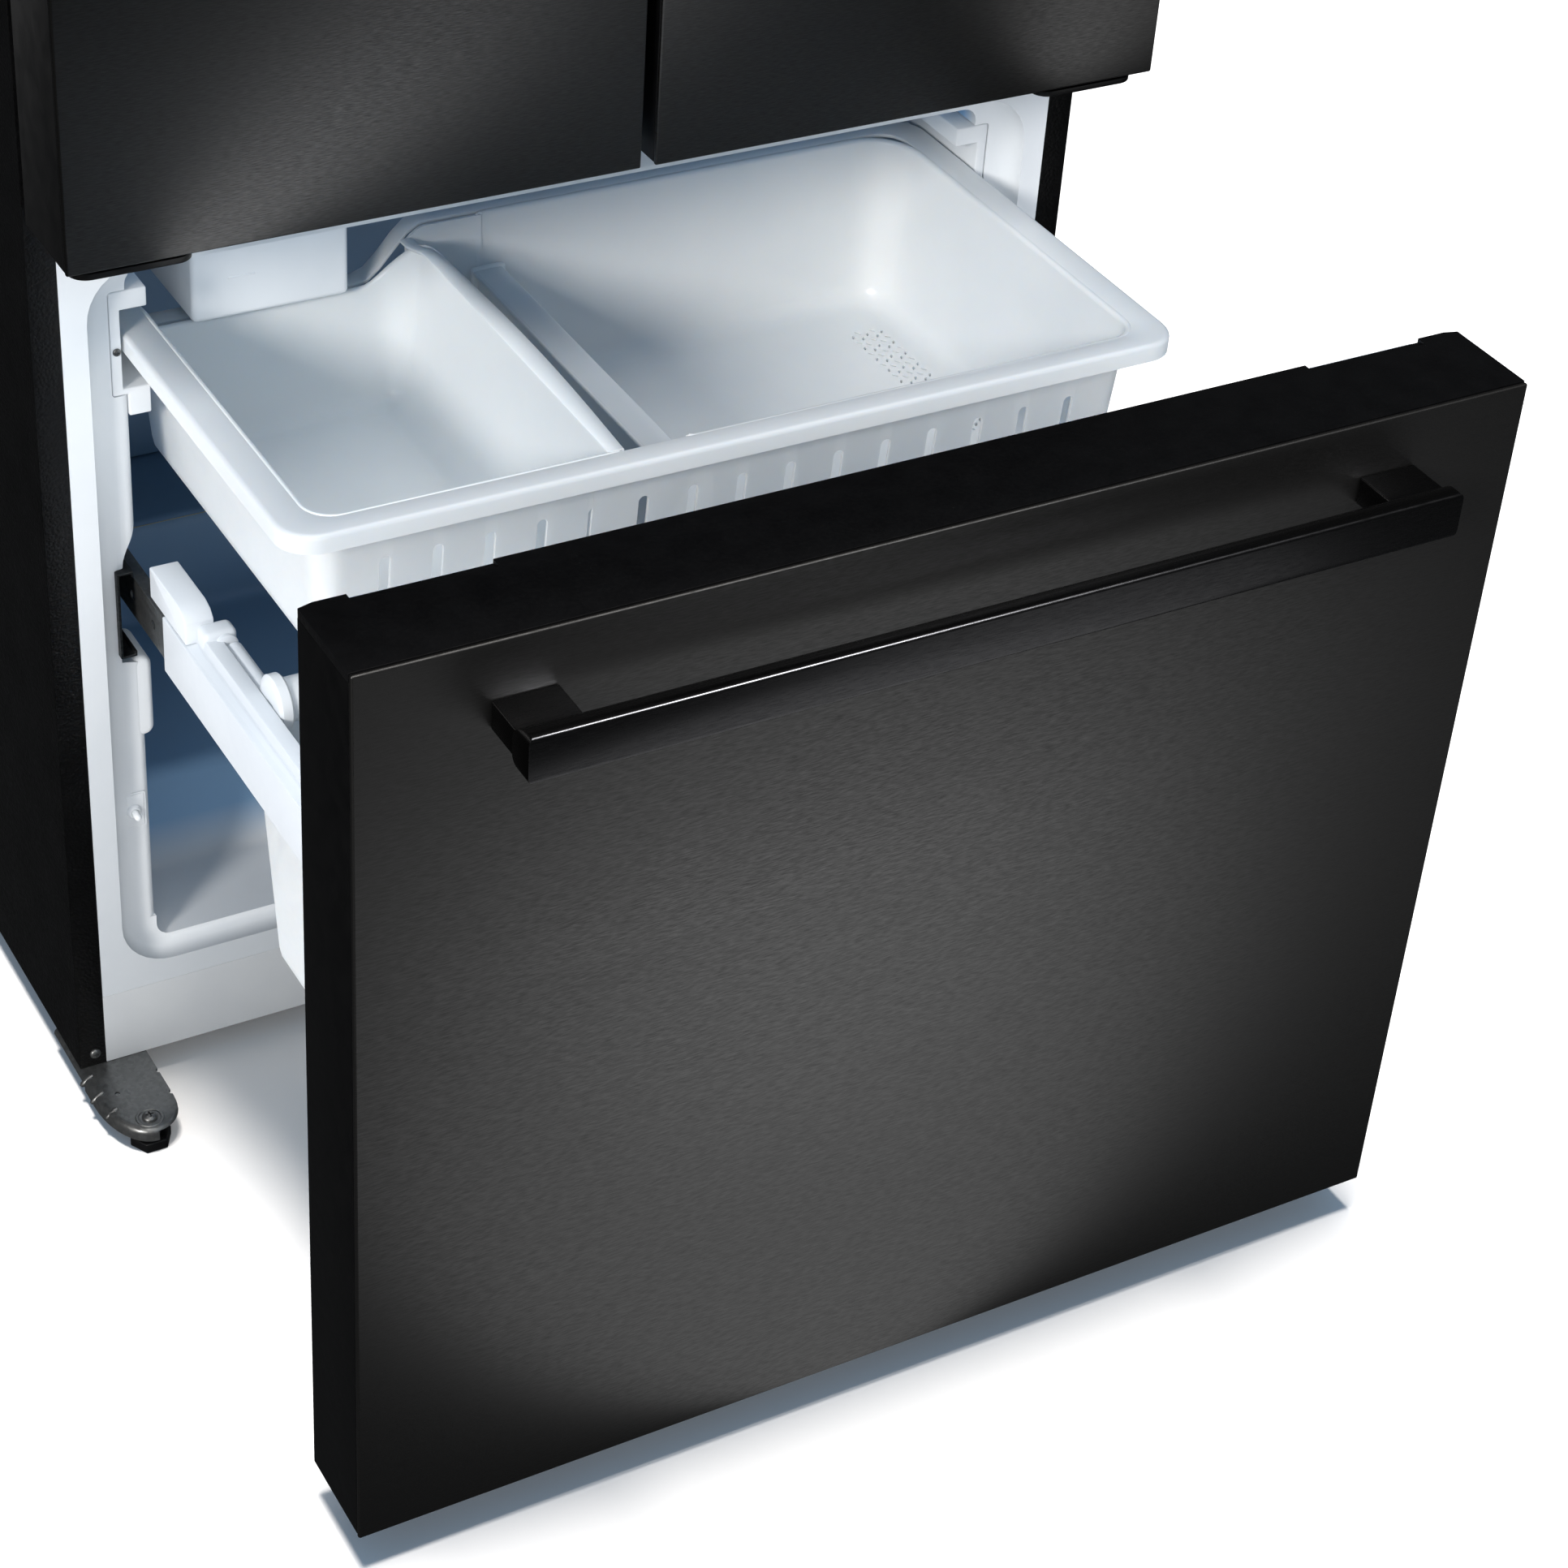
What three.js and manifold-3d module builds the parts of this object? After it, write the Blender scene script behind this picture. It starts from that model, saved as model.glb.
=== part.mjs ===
// French-door refrigerator with a bottom freezer drawer, drawn with the drawer pulled fully open.
// Millimetres. X runs to the viewer's right, Y runs from the front into the cabinet, Z is up.
// The origin is on the floor, at the middle of the plane of the cabinet's front flange.
import * as THREE from 'three';
import { mergeVertices } from 'three/addons/utils/BufferGeometryUtils.js';
import Module from 'manifold-3d';

// ---------- driving dimensions ----------
const GAP = 0.3;                 // assembly gap between touching pieces
const SHEET = 1;                 // painted and stainless sheet steel
const WALL = 3;                  // moulded plastic wall

const CABINET = { half: 451.5, depth: 643, bottom: 25, top: 1745, flange: 23 };
const DOOR = { half: 454, thick: 85, front: -99, bottom: 826.7, top: 1765, centreGap: 12 };
const DRAWER = { bottom: 35, top: 799.6, cap: 7.3, travel: 488 };
const GASKET = { thick: 13.4, width: 18 };

const FRIDGE = { half: 400, floor: 868, ceiling: 1700, back: 575 };
const FREEZER = { half: 372, floor: 128, ceiling: 757, back: 575 };
const FREEZER_STEP = { front: 111.5, back: 150, top: 200, humpFront: 372, humpTop: 300 };
const MOUTH = { half: 409, low: 117, high: 773, depth: 20, corner: 40 };
const FREEZER_FACE = { low: 95.8, high: 790 };
const SLIDE_POCKET = { half: 392, low: 412, high: 541, back: 520 };
const GUIDE = { outer: 384, web: 375.5, tip: 354, low: 652, high: 740, ledge: 5, arm: 16, front: 20, back: 470 };
const RAIL = { low: 790.3, high: 852, depth: 25 };
const BASE = { low: 57, high: 59.7 };
const MACHINE = { front: 420, top: 255 };

const SLIDE = { low: 420, high: 499, outer: 391.5, inner: 378, front: 12, back: 512 };
const MIDDLE = { low: 446, high: 484, outer: 373.5, inner: 362, length: 452, shoe: 22, shoeOuter: 388.5 };
const ARM = { low: 440, high: 502, outer: 376.2, inner: 352, shelf: 348, rear: -43 };
const BLOCK = { top: 520, rear: -16, front: -90 };
const BRACE = { y: -198, z: 501, wheel: 22, tube: 17, wheelOuter: 351.5, wheelInner: 340 };

const BASKET = { half: 373, front: -293, back: 125, top: 702, skirt: 15, bottom: 553, corner: 28 };
const BASKET_WALL = { half: 346, front: -272, back: 103, draft: 12, gapLow: -106, gapHigh: -51, dividerTop: 655 };
const ICE_DIP = { z: 657, left: -346, right: -158, slope: -85, front: 58 };
const SLOTS = { count: 15, pitch: 41.3, low: 580, high: 655, width: 8.5 };
const BIN = { half: 345, front: -480, back: -123, top: 445.3, bottom: 205, draft: 15, rim: 365 };
const ICE_MAKER = { left: -294, right: -163, front: 85, back: 400, low: 661 };

const HANDLE = { half: 361, tall: 36, proud: 56, neck: 23, postIn: 313, postOut: 360, postTall: 21.5 };
const DRAWER_HANDLE_Z = 745;
const DOOR_HANDLE = { x: 62, z: 1390, half: 340 };

const HINGE = { x: 430, y: -56, pin: 4.5, hole: 5.4 };
const FOOT = { x: 421, y: -81, stud: 5, hex: 18, hexTop: 9.4, plate: 24.7 };
const FOOT_PLATE = { outer: 453.5, inner: 393, front: -98, back: 60, thick: 2, skirt: 10 };
const ROLLER = { x: 405, y: 600, r: 20, wide: 18, axle: 4 };
const SWITCH = { x: -386, z: 265, wide: 18, tall: 32, plate: 1.5, pin: 3, tip: 6 };
const SHELVES = { lower: 1220, upper: 1420, thick: 6, front: 105, back: 560, half: 396 };
const CRISPER = { top: 1010, front: 110, back: 520, inner: 5, outer: 392 };
const MULLION = { axisX: -40, axisY: 2, width: 64, thick: 8, low: 872, high: 1696 };
const EVAPORATOR = { half: 300, front: 492, back: 566, low: 330, high: 575 };
const COVER = { y: 480, half: 369, low: 303, high: 754, fanZ: 665, fanR: 58 };
const COMPRESSOR = { x: 230, y: 531, r: 84, low: 62, high: 238 };
const CONDENSER = { left: -385, right: -130, front: 465, back: 600, low: 66, high: 220 };
const CONDENSER_FAN = { x: -70, y: 532, z: 150, r: 66, shroud: 72 };

// ---------- materials ----------
function finish(colour, roughness, metalness) {
  return new THREE.MeshStandardMaterial({ color: colour, roughness, metalness });
}
const MATERIAL = {
  blackSteel: finish(0x2b2b2d, 0.38, 0.9),
  blackPaint: finish(0x0c0c0d, 0.45, 0.2),
  blackPlastic: finish(0x0a0a0b, 0.5, 0),
  whitePlastic: finish(0xe8edf0, 0.42, 0),
  whitePaint: finish(0xe4e9ec, 0.4, 0.1),
  milky: finish(0xd8e2ea, 0.35, 0),
  galvanised: finish(0x9aa09f, 0.4, 0.85),
  darkSteel: finish(0x26282a, 0.45, 0.7),
  rubber: finish(0xbfc6ca, 0.8, 0),
  glass: finish(0xbfd6d2, 0.08, 0),
  foam: finish(0xd9c98a, 0.95, 0),
  aluminium: finish(0xb9bec2, 0.4, 0.8),
};

// ---------- solid helpers ----------
const wasm = await Module();
wasm.setup();

function toSolid(geometry) {
  const bare = geometry.clone();
  bare.deleteAttribute('normal');
  bare.deleteAttribute('uv');
  const merged = mergeVertices(bare, 1e-4);
  const vertProperties = new Float32Array(merged.attributes.position.array);
  const triVerts = new Uint32Array(merged.index.array);
  return new wasm.Manifold(new wasm.Mesh({ numProp: 3, vertProperties, triVerts }));
}

function toGeometry(solid) {
  const mesh = solid.getMesh();
  const geometry = new THREE.BufferGeometry();
  geometry.setAttribute('position', new THREE.BufferAttribute(mesh.vertProperties, 3));
  geometry.setIndex(new THREE.BufferAttribute(mesh.triVerts, 1));
  geometry.computeVertexNormals();
  return geometry;
}

const join = (...solids) => solids.reduce((sum, next) => sum.add(next));
const cut = (solid, ...tools) => tools.reduce((rest, tool) => rest.subtract(tool), solid);

function blockGeometry([x0, x1], [y0, y1], [z0, z1]) {
  const geometry = new THREE.BoxGeometry(x1 - x0, y1 - y0, z1 - z0);
  return geometry.translate((x0 + x1) / 2, (y0 + y1) / 2, (z0 + z1) / 2);
}
const block = (x, y, z) => toSolid(blockGeometry(x, y, z));

// A flat outline pushed along one axis: z takes (x, y), y takes (x, z) and x takes (y, z).
function prismGeometry(outline, axis, low, high, curveSegments = 6) {
  const geometry = new THREE.ExtrudeGeometry(outline, {
    depth: high - low,
    bevelEnabled: false,
    curveSegments,
  });
  if (axis === 'z') return geometry.translate(0, 0, low);
  if (axis === 'y') return geometry.rotateX(Math.PI / 2).translate(0, high, 0);
  const turn = new THREE.Matrix4().makeBasis(
    new THREE.Vector3(0, 1, 0),
    new THREE.Vector3(0, 0, 1),
    new THREE.Vector3(1, 0, 0),
  );
  return geometry.applyMatrix4(turn).translate(low, 0, 0);
}
const prism = (...given) => toSolid(prismGeometry(...given));

function polygon(points) {
  return new THREE.Shape(points.map(([a, b]) => new THREE.Vector2(a, b)));
}

function roundedRect([a0, a1], [b0, b1], r) {
  const shape = new THREE.Shape();
  shape.moveTo(a0 + r, b0);
  shape.lineTo(a1 - r, b0);
  shape.absarc(a1 - r, b0 + r, r, -Math.PI / 2, 0);
  shape.lineTo(a1, b1 - r);
  shape.absarc(a1 - r, b1 - r, r, 0, Math.PI / 2);
  shape.lineTo(a0 + r, b1);
  shape.absarc(a0 + r, b1 - r, r, Math.PI / 2, Math.PI);
  shape.lineTo(a0, b0 + r);
  shape.absarc(a0 + r, b0 + r, r, Math.PI, Math.PI * 1.5);
  return shape;
}

function circle(a, b, r) {
  const shape = new THREE.Shape();
  shape.absarc(a, b, r, 0, Math.PI * 2);
  return shape;
}

function rod(axis, a, b, r, low, high, segments = 6) {
  return prism(circle(a, b, r), axis, low, high, segments);
}

function hexagon(a, b, r) {
  const corners = Array.from({ length: 6 }, (_, k) => [
    a + r * Math.cos((k * Math.PI) / 3),
    b + r * Math.sin((k * Math.PI) / 3),
  ]);
  return polygon(corners);
}

// A rounded tub outline whose foot is narrower than its mouth by the draft on every side.
function draftedTub([x0, x1], [y0, y1], [z0, z1], r, draft) {
  const geometry = prismGeometry(roundedRect([x0, x1], [y0, y1], r), 'z', z0, z1, 3);
  const cx = (x0 + x1) / 2;
  const cy = (y0 + y1) / 2;
  const fx = 1 - draft / ((x1 - x0) / 2);
  const fy = 1 - draft / ((y1 - y0) / 2);
  const place = geometry.attributes.position;
  for (let i = 0; i < place.count; i += 1) {
    if (place.getZ(i) > (z0 + z1) / 2) continue;
    place.setX(i, cx + (place.getX(i) - cx) * fx);
    place.setY(i, cy + (place.getY(i) - cy) * fy);
  }
  return toSolid(geometry);
}

function openTub(x, y, z, r, draft, wall) {
  const outer = draftedTub(x, y, z, r, draft);
  const inner = draftedTub(
    [x[0] + wall, x[1] - wall],
    [y[0] + wall, y[1] - wall],
    [z[0] + wall, z[1] + 1],
    Math.max(r - wall, 1),
    draft,
  );
  return cut(outer, inner);
}

const symmetric = (half) => [-half, half];
const sides = { left: -1, right: 1 };
const mirrored = (side, near, far) => (side < 0 ? [-far, -near] : [near, far]);

// ---------- the assembly ----------
const group = new THREE.Group();

function addPiece(name, shape, material, parent = group) {
  const geometry = shape.isBufferGeometry ? shape : toGeometry(shape);
  const mesh = new THREE.Mesh(geometry, material);
  mesh.name = name;
  parent.add(mesh);
  return mesh;
}

// ---------- cabinet ----------
function cabinetShell() {
  const back = CABINET.depth - SHEET;
  const inside = CABINET.half - SHEET;
  const opening = CABINET.half - CABINET.flange;
  const outer = block(symmetric(CABINET.half), [0, back], [CABINET.bottom, CABINET.top]);
  const hollow = block(symmetric(inside), [SHEET, back + 1], [CABINET.bottom - 1, CABINET.top - SHEET]);
  const mouth = block(symmetric(opening), [-1, SHEET + 1], [CABINET.bottom - 1, CABINET.top - CABINET.flange]);
  return cut(outer, hollow, mouth);
}

function freezerLinerProfile(grow) {
  const bottom = FREEZER.floor - grow;
  const step = FREEZER_STEP.top - grow;
  const hump = FREEZER_STEP.humpTop - grow;
  return polygon([
    [MOUTH.depth + grow - WALL, bottom],
    [FREEZER_STEP.front + grow / 2, bottom],
    [FREEZER_STEP.back + grow / 2, step],
    [FREEZER_STEP.humpFront + grow, step],
    [FREEZER_STEP.humpFront + grow, hump],
    [FREEZER.back + grow, hump],
    [FREEZER.back + grow, FREEZER.ceiling + grow],
    [MOUTH.depth + grow - WALL, FREEZER.ceiling + grow],
  ]);
}

function freezerSpace(grow) {
  const room = prism(freezerLinerProfile(grow), 'x', -FREEZER.half - grow, FREEZER.half + grow);
  const slides = block(
    symmetric(SLIDE_POCKET.half + grow),
    [MOUTH.depth - WALL + grow, SLIDE_POCKET.back + grow],
    [SLIDE_POCKET.low - grow, SLIDE_POCKET.high + grow],
  );
  const guides = block(
    symmetric(GUIDE.outer + GAP + grow),
    [MOUTH.depth - WALL + grow, GUIDE.back + GAP + grow],
    [GUIDE.low - 1 - grow, GUIDE.high + 1 + grow],
  );
  return join(room, slides, guides);
}

function freezerMouth(grow, front) {
  const outline = roundedRect(
    symmetric(MOUTH.half + grow),
    [MOUTH.low - grow, MOUTH.high + grow],
    MOUTH.corner + grow,
  );
  return prism(outline, 'y', front, MOUTH.depth + grow);
}

// The room that the switch pin needs as it is pressed in.
function switchBore(grow) {
  return rod('y', SWITCH.x, SWITCH.z, SWITCH.pin + GAP + grow, MOUTH.depth - 1, MOUTH.depth + SWITCH.tip + 2, 5);
}

function freezerLiner() {
  const faceHalf = CABINET.half - CABINET.flange - GAP;
  const face = block(symmetric(faceHalf), [0, WALL], [FREEZER_FACE.low, FREEZER_FACE.high]);
  const body = join(face, freezerMouth(WALL, 0), freezerSpace(WALL));
  return cut(body, freezerMouth(0, -1), freezerSpace(0), switchBore(0));
}

function fridgeSpace(grow, front) {
  return prism(
    roundedRect(symmetric(FRIDGE.half + grow), [FRIDGE.floor - grow, FRIDGE.ceiling + grow], 24 + grow),
    'y',
    front,
    FRIDGE.back + grow,
    3,
  );
}

function shelfLedges(z) {
  const ledge = (side) => block(
    mirrored(side, FRIDGE.half - 9, FRIDGE.half + 1),
    [SHELVES.front, SHELVES.back],
    [z - 8, z - GAP],
  );
  return join(ledge(sides.left), ledge(sides.right));
}

function fridgeLiner() {
  const faceHalf = CABINET.half - CABINET.flange - GAP;
  const face = block(symmetric(faceHalf), [0, WALL], [RAIL.high + GAP, CABINET.top - CABINET.flange - GAP]);
  const shell = cut(join(face, fridgeSpace(WALL, 0)), fridgeSpace(0, -1));
  return join(shell, shelfLedges(SHELVES.lower), shelfLedges(SHELVES.upper), shelfLedges(CRISPER.top + 8));
}

function cabinetFoam() {
  const front = WALL + GAP;
  const back = CABINET.depth - SHEET - GAP;
  const top = CABINET.top - SHEET - GAP;
  const outline = polygon([
    [front, BASE.high + GAP],
    [MACHINE.front, BASE.high + GAP],
    [MACHINE.front, MACHINE.top],
    [back, MACHINE.top],
    [back, top],
    [front, top],
  ]);
  const half = CABINET.half - SHEET - GAP;
  const solid = prism(outline, 'x', -half, half);
  const railSeat = block(symmetric(half + 1), [0, RAIL.depth + GAP], [FREEZER_FACE.high, RAIL.high + GAP]);
  const toeSeat = block(symmetric(half + 1), [0, RAIL.depth + GAP], [BASE.low, FREEZER_FACE.low]);
  return cut(
    solid,
    freezerMouth(WALL + GAP, -1),
    freezerSpace(WALL + GAP),
    switchBore(GAP),
    fridgeSpace(WALL + GAP, -1),
    railSeat,
    toeSeat,
  );
}

// A channel of bent sheet, closed at the front, open at the back.
function sheetChannel(x, y, z) {
  const hollow = block([x[0] - 1, x[1] + 1], [y[0] + SHEET, y[1] + 1], [z[0] + SHEET, z[1] - SHEET]);
  return cut(block(x, y, z), hollow);
}

function machineCover() {
  const y = [CABINET.depth - 0.7, CABINET.depth];
  const sheet = block(symmetric(CABINET.half), y, [30, 257.7]);
  const vents = Array.from({ length: 14 }, (_, k) => {
    const x = -390 + k * 60;
    return block([x - 7, x + 7], [y[0] - 1, y[1] + 1], [90, 215]);
  });
  return cut(sheet, ...vents);
}

function rollerBracket(side) {
  const ear = (x) => block([x - 1, x + 1], [ROLLER.y - 14, ROLLER.y + 14], [ROLLER.r - 8, BASE.low + 1]);
  const hole = rod('x', ROLLER.y, ROLLER.r, ROLLER.axle + GAP, side * ROLLER.x - 30, side * ROLLER.x + 30);
  const offset = ROLLER.wide / 2 + 3;
  return cut(join(ear(side * ROLLER.x - offset), ear(side * ROLLER.x + offset)), hole);
}

function basePan() {
  const half = CABINET.half - SHEET - GAP;
  const plate = block(symmetric(half), [RAIL.depth + GAP, CABINET.depth - 1], [BASE.low, BASE.high]);
  const clearance = (side) => block(
    mirrored(side, ROLLER.x - ROLLER.wide / 2 - 1, ROLLER.x + ROLLER.wide / 2 + 1),
    [ROLLER.y - 10, ROLLER.y + 10],
    [BASE.low - 1, BASE.low + 0.5],
  );
  const panel = cut(plate, clearance(sides.left), clearance(sides.right));
  return join(panel, rollerBracket(sides.left), rollerBracket(sides.right));
}

function rearRoller(side) {
  const x = side * ROLLER.x;
  const wheel = rod('x', ROLLER.y, ROLLER.r, ROLLER.r, x - ROLLER.wide / 2, x + ROLLER.wide / 2, 12);
  const axle = rod('x', ROLLER.y, ROLLER.r, ROLLER.axle, x - ROLLER.wide / 2 - 6, x + ROLLER.wide / 2 + 6);
  return join(wheel, axle);
}

// The foot plate has a straight inner edge, and its outer edge and nose are turned down.
function footPlateOutline(inset) {
  const nose = FOOT_PLATE.front + inset;
  const outer = FOOT_PLATE.outer - inset;
  const shape = new THREE.Shape();
  shape.moveTo(FOOT_PLATE.inner, FOOT_PLATE.back);
  shape.lineTo(FOOT_PLATE.inner, nose + 34);
  shape.bezierCurveTo(FOOT_PLATE.inner, nose + 10, FOOT_PLATE.inner + 8, nose, FOOT_PLATE.inner + 26, nose);
  shape.bezierCurveTo(outer - 8, nose, outer, nose + 30, outer, nose + 62);
  shape.lineTo(outer, FOOT_PLATE.back);
  return shape;
}

function footBracket(side) {
  const top = FOOT.plate;
  const full = prism(footPlateOutline(0), 'z', FOOT_PLATE.skirt, top, 5);
  const below = prism(footPlateOutline(FOOT_PLATE.thick), 'z', FOOT_PLATE.skirt - 1, top - FOOT_PLATE.thick, 5);
  const openInner = block([FOOT_PLATE.inner - 1, FOOT_PLATE.inner + 24], [-99, 61], [FOOT_PLATE.skirt - 1, 15]);
  const openBack = block([FOOT_PLATE.inner - 1, FOOT_PLATE.outer + 1], [-18, 61], [FOOT_PLATE.skirt - 1, 19]);
  const hole = rod('z', FOOT.x, FOOT.y, FOOT.stud + GAP, 0, 30, 8);
  const bracket = toGeometry(cut(full, below, openInner, openBack, hole));
  if (side > 0) return bracket;
  return mirrorX(bracket);
}

// Mirror a geometry in the YZ plane and turn its triangles round again.
function mirrorX(geometry) {
  const flipped = geometry.clone().applyMatrix4(new THREE.Matrix4().makeScale(-1, 1, 1));
  const order = flipped.index.array;
  for (let i = 0; i < order.length; i += 3) {
    [order[i + 1], order[i + 2]] = [order[i + 2], order[i + 1]];
  }
  flipped.computeVertexNormals();
  return flipped;
}

function levellingFoot(side) {
  const x = side * FOOT.x;
  const hex = prism(hexagon(x, FOOT.y, FOOT.hex), 'z', 0, FOOT.hexTop);
  const stud = rod('z', x, FOOT.y, FOOT.stud, FOOT.hexTop - 1, FOOT.plate + 2, 8);
  const head = rod('z', x, FOOT.y, 8, FOOT.plate + GAP, FOOT.plate + 3.5, 8);
  return join(hex, stud, head);
}

function middleHinge(side) {
  const z = [816, 821];
  const outline = roundedRect(mirrored(side, 354, 446), [-90, -GAP], 14);
  const plate = prism(outline, 'z', z[0], z[1], 4);
  const back = block(mirrored(side, 362, 428), [-3.5, -GAP], [797, z[1]]);
  const closer = rod('z', side * HINGE.x, HINGE.y, 13, z[1] - 1, DOOR.bottom - GAP, 8);
  const pin = rod('z', side * HINGE.x, HINGE.y, HINGE.pin, z[1] - 1, DOOR.bottom + 12, 8);
  return join(plate, back, closer, pin);
}

function topHinge(side) {
  const z = [DOOR.top + 0.8, DOOR.top + 4.8];
  const arm = prism(roundedRect(mirrored(side, 396, 446), [-78, 9], 10), 'z', z[0], z[1], 4);
  const riser = block(mirrored(side, 396, 446), [5, 9], [CABINET.top + GAP, z[1]]);
  const base = block(mirrored(side, 396, 446), [5, 100], [CABINET.top + GAP, CABINET.top + 4.3]);
  const pin = rod('z', side * HINGE.x, HINGE.y, HINGE.pin, DOOR.top - 14, z[0] + 1, 8);
  return join(arm, riser, base, pin);
}

function basketGuide(side) {
  const y = [GUIDE.front, GUIDE.back];
  const web = block(mirrored(side, GUIDE.web, GUIDE.outer), y, [GUIDE.low, GUIDE.high]);
  const arm = block(mirrored(side, GUIDE.tip, GUIDE.outer), y, [GUIDE.high - GUIDE.arm, GUIDE.high]);
  const ledge = block(mirrored(side, GUIDE.tip, GUIDE.outer), y, [GUIDE.low, GUIDE.low + GUIDE.ledge]);
  const tab = block(mirrored(side, GUIDE.tip, 371.5), [GUIDE.front, GUIDE.front + 8], [633, GUIDE.low + 2]);
  return join(web, arm, ledge, tab);
}

function cabinetSlide(side) {
  const y = [SLIDE.front, SLIDE.back];
  const full = block(mirrored(side, SLIDE.inner, SLIDE.outer), y, [SLIDE.low, SLIDE.high]);
  const hollow = block(
    mirrored(side, SLIDE.inner - 1, SLIDE.outer - 2),
    [y[0] - 1, y[1] + 1],
    [SLIDE.low + 2, SLIDE.high - 2],
  );
  return cut(full, hollow);
}

function middleSlide(side) {
  const front = ARM.rear - 180;
  const rear = front + MIDDLE.length;
  const full = block(mirrored(side, MIDDLE.inner, MIDDLE.outer), [front, rear], [MIDDLE.low, MIDDLE.high]);
  const hollow = block(
    mirrored(side, MIDDLE.inner - 1, MIDDLE.outer - 2),
    [front - 1, rear - MIDDLE.shoe],
    [MIDDLE.low + 2, MIDDLE.high - 2],
  );
  const shoe = block(
    mirrored(side, MIDDLE.outer - 1, MIDDLE.shoeOuter),
    [rear - MIDDLE.shoe, rear],
    [MIDDLE.low, MIDDLE.high],
  );
  return cut(join(full, shoe), hollow);
}

function switchHousing() {
  const half = SWITCH.wide / 2;
  const y = [MOUTH.depth - GAP - SWITCH.plate, MOUTH.depth - GAP];
  const plate = block([SWITCH.x - half, SWITCH.x + half], y, [SWITCH.z - SWITCH.tall / 2, SWITCH.z + SWITCH.tall / 2]);
  return cut(plate, rod('y', SWITCH.x, SWITCH.z, SWITCH.pin + GAP, 0, 40, 5));
}

// ---------- cold and machine parts ----------
function fanRotor(hub, r, depth, blades) {
  const core = rod('z', 0, 0, hub, -depth / 2, depth / 2, 8);
  const fan = Array.from({ length: blades }, (_, k) => {
    const blade = new THREE.BoxGeometry(r - hub + 4, r * 0.55, 2);
    blade.rotateX(0.5).translate((r + hub - 4) / 2, 0, 0).rotateZ((k * 2 * Math.PI) / blades);
    return toSolid(blade);
  });
  return join(core, ...fan);
}

function evaporatorCover() {
  const y = [COVER.y, COVER.y + WALL];
  const sheet = block(symmetric(COVER.half), y, [COVER.low, COVER.high]);
  const fanHole = rod('y', 0, COVER.fanZ, COVER.fanR, y[0] - 1, y[1] + 1, 12);
  const vents = [-250, -150, 150, 250].map((x) => block([x - 35, x + 35], [y[0] - 1, y[1] + 1], [700, 712]));
  const motorBar = block(symmetric(COVER.fanR + 6), [y[1] - 1, y[1] + 2], [COVER.fanZ - 8, COVER.fanZ + 8]);
  const motor = rod('y', 0, COVER.fanZ, 22, y[1], y[1] + 14, 8);
  return join(cut(sheet, fanHole, ...vents), motorBar, motor);
}

function finnedBlock(x, y, z, fins, slot) {
  const pitch = (x[1] - x[0]) / (fins + 1);
  const grooves = Array.from({ length: fins }, (_, k) => {
    const middle = x[0] + pitch * (k + 1);
    return block([middle - slot / 2, middle + slot / 2], [y[0] - 1, y[1] - 12], [z[0] + 8, z[1] + 1]);
  });
  return cut(block(x, y, z), ...grooves);
}

function compressor() {
  const { r, low, high } = COMPRESSOR;
  const points = [
    [0, low + 12], [r * 0.8, low + 14], [r * 0.97, low + 34], [r, low + 70],
    [r * 0.97, high - 44], [r * 0.8, high - 16], [r * 0.45, high - 3], [0, high],
  ].map(([a, b]) => new THREE.Vector2(a, b));
  const can = new THREE.LatheGeometry(points, 20);
  can.rotateX(Math.PI / 2).translate(COMPRESSOR.x, COMPRESSOR.y, 0);
  const foot = block(
    [COMPRESSOR.x - 88, COMPRESSOR.x + 88],
    [COMPRESSOR.y - 70, COMPRESSOR.y + 70],
    [low, low + 16],
  );
  return join(toSolid(can), foot);
}

function condenser() {
  const { left, right, front, back, low, high } = CONDENSER;
  const coil = finnedBlock([left, right], [front, back], [low, high], 12, 6);
  const fan = CONDENSER_FAN;
  const shroud = block([right - 1, right + 26], [fan.y - fan.shroud - 3, fan.y + fan.shroud + 3], [low, fan.z + fan.shroud]);
  const bore = rod('x', fan.y, fan.z, fan.shroud - 4, right + 3, right + 40, 12);
  const motor = rod('x', fan.y, fan.z, 20, right - 1, right + 40, 8);
  return join(coil, cut(shroud, bore), motor);
}

// ---------- refrigerator interior ----------
function glassShelf(z) {
  return block(symmetric(SHELVES.half), [SHELVES.front, SHELVES.back], [z, z + SHELVES.thick]);
}

function crisper(side) {
  const x = mirrored(side, CRISPER.inner, CRISPER.outer);
  const tub = openTub(x, [CRISPER.front + 12, CRISPER.back], [FRIDGE.floor + 2, CRISPER.top], 14, 8, WALL);
  const frontX = [x[0], x[1]];
  const front = block(frontX, [CRISPER.front, CRISPER.front + 14], [FRIDGE.floor + 10, CRISPER.top]);
  const grip = block([x[0] + 60, x[1] - 60], [CRISPER.front - 1, CRISPER.front + 8], [CRISPER.top - 30, CRISPER.top - 12]);
  return join(tub, cut(front, grip));
}

// ---------- upper doors ----------
function doorSpan(side) {
  return mirrored(side, DOOR.centreGap / 2, DOOR.half);
}

function doorSkin(side) {
  const x = doorSpan(side);
  const y = [DOOR.front, DOOR.front + DOOR.thick];
  const outer = block(x, y, [DOOR.bottom, DOOR.top]);
  const inner = block(
    [x[0] + SHEET, x[1] - SHEET],
    [y[0] + SHEET, y[1] + 1],
    [DOOR.bottom + SHEET, DOOR.top - SHEET],
  );
  const pinHole = rod('z', side * HINGE.x, HINGE.y, HINGE.hole, DOOR.bottom - 1, DOOR.top + 1, 8);
  return cut(outer, inner, pinHole);
}

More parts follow.
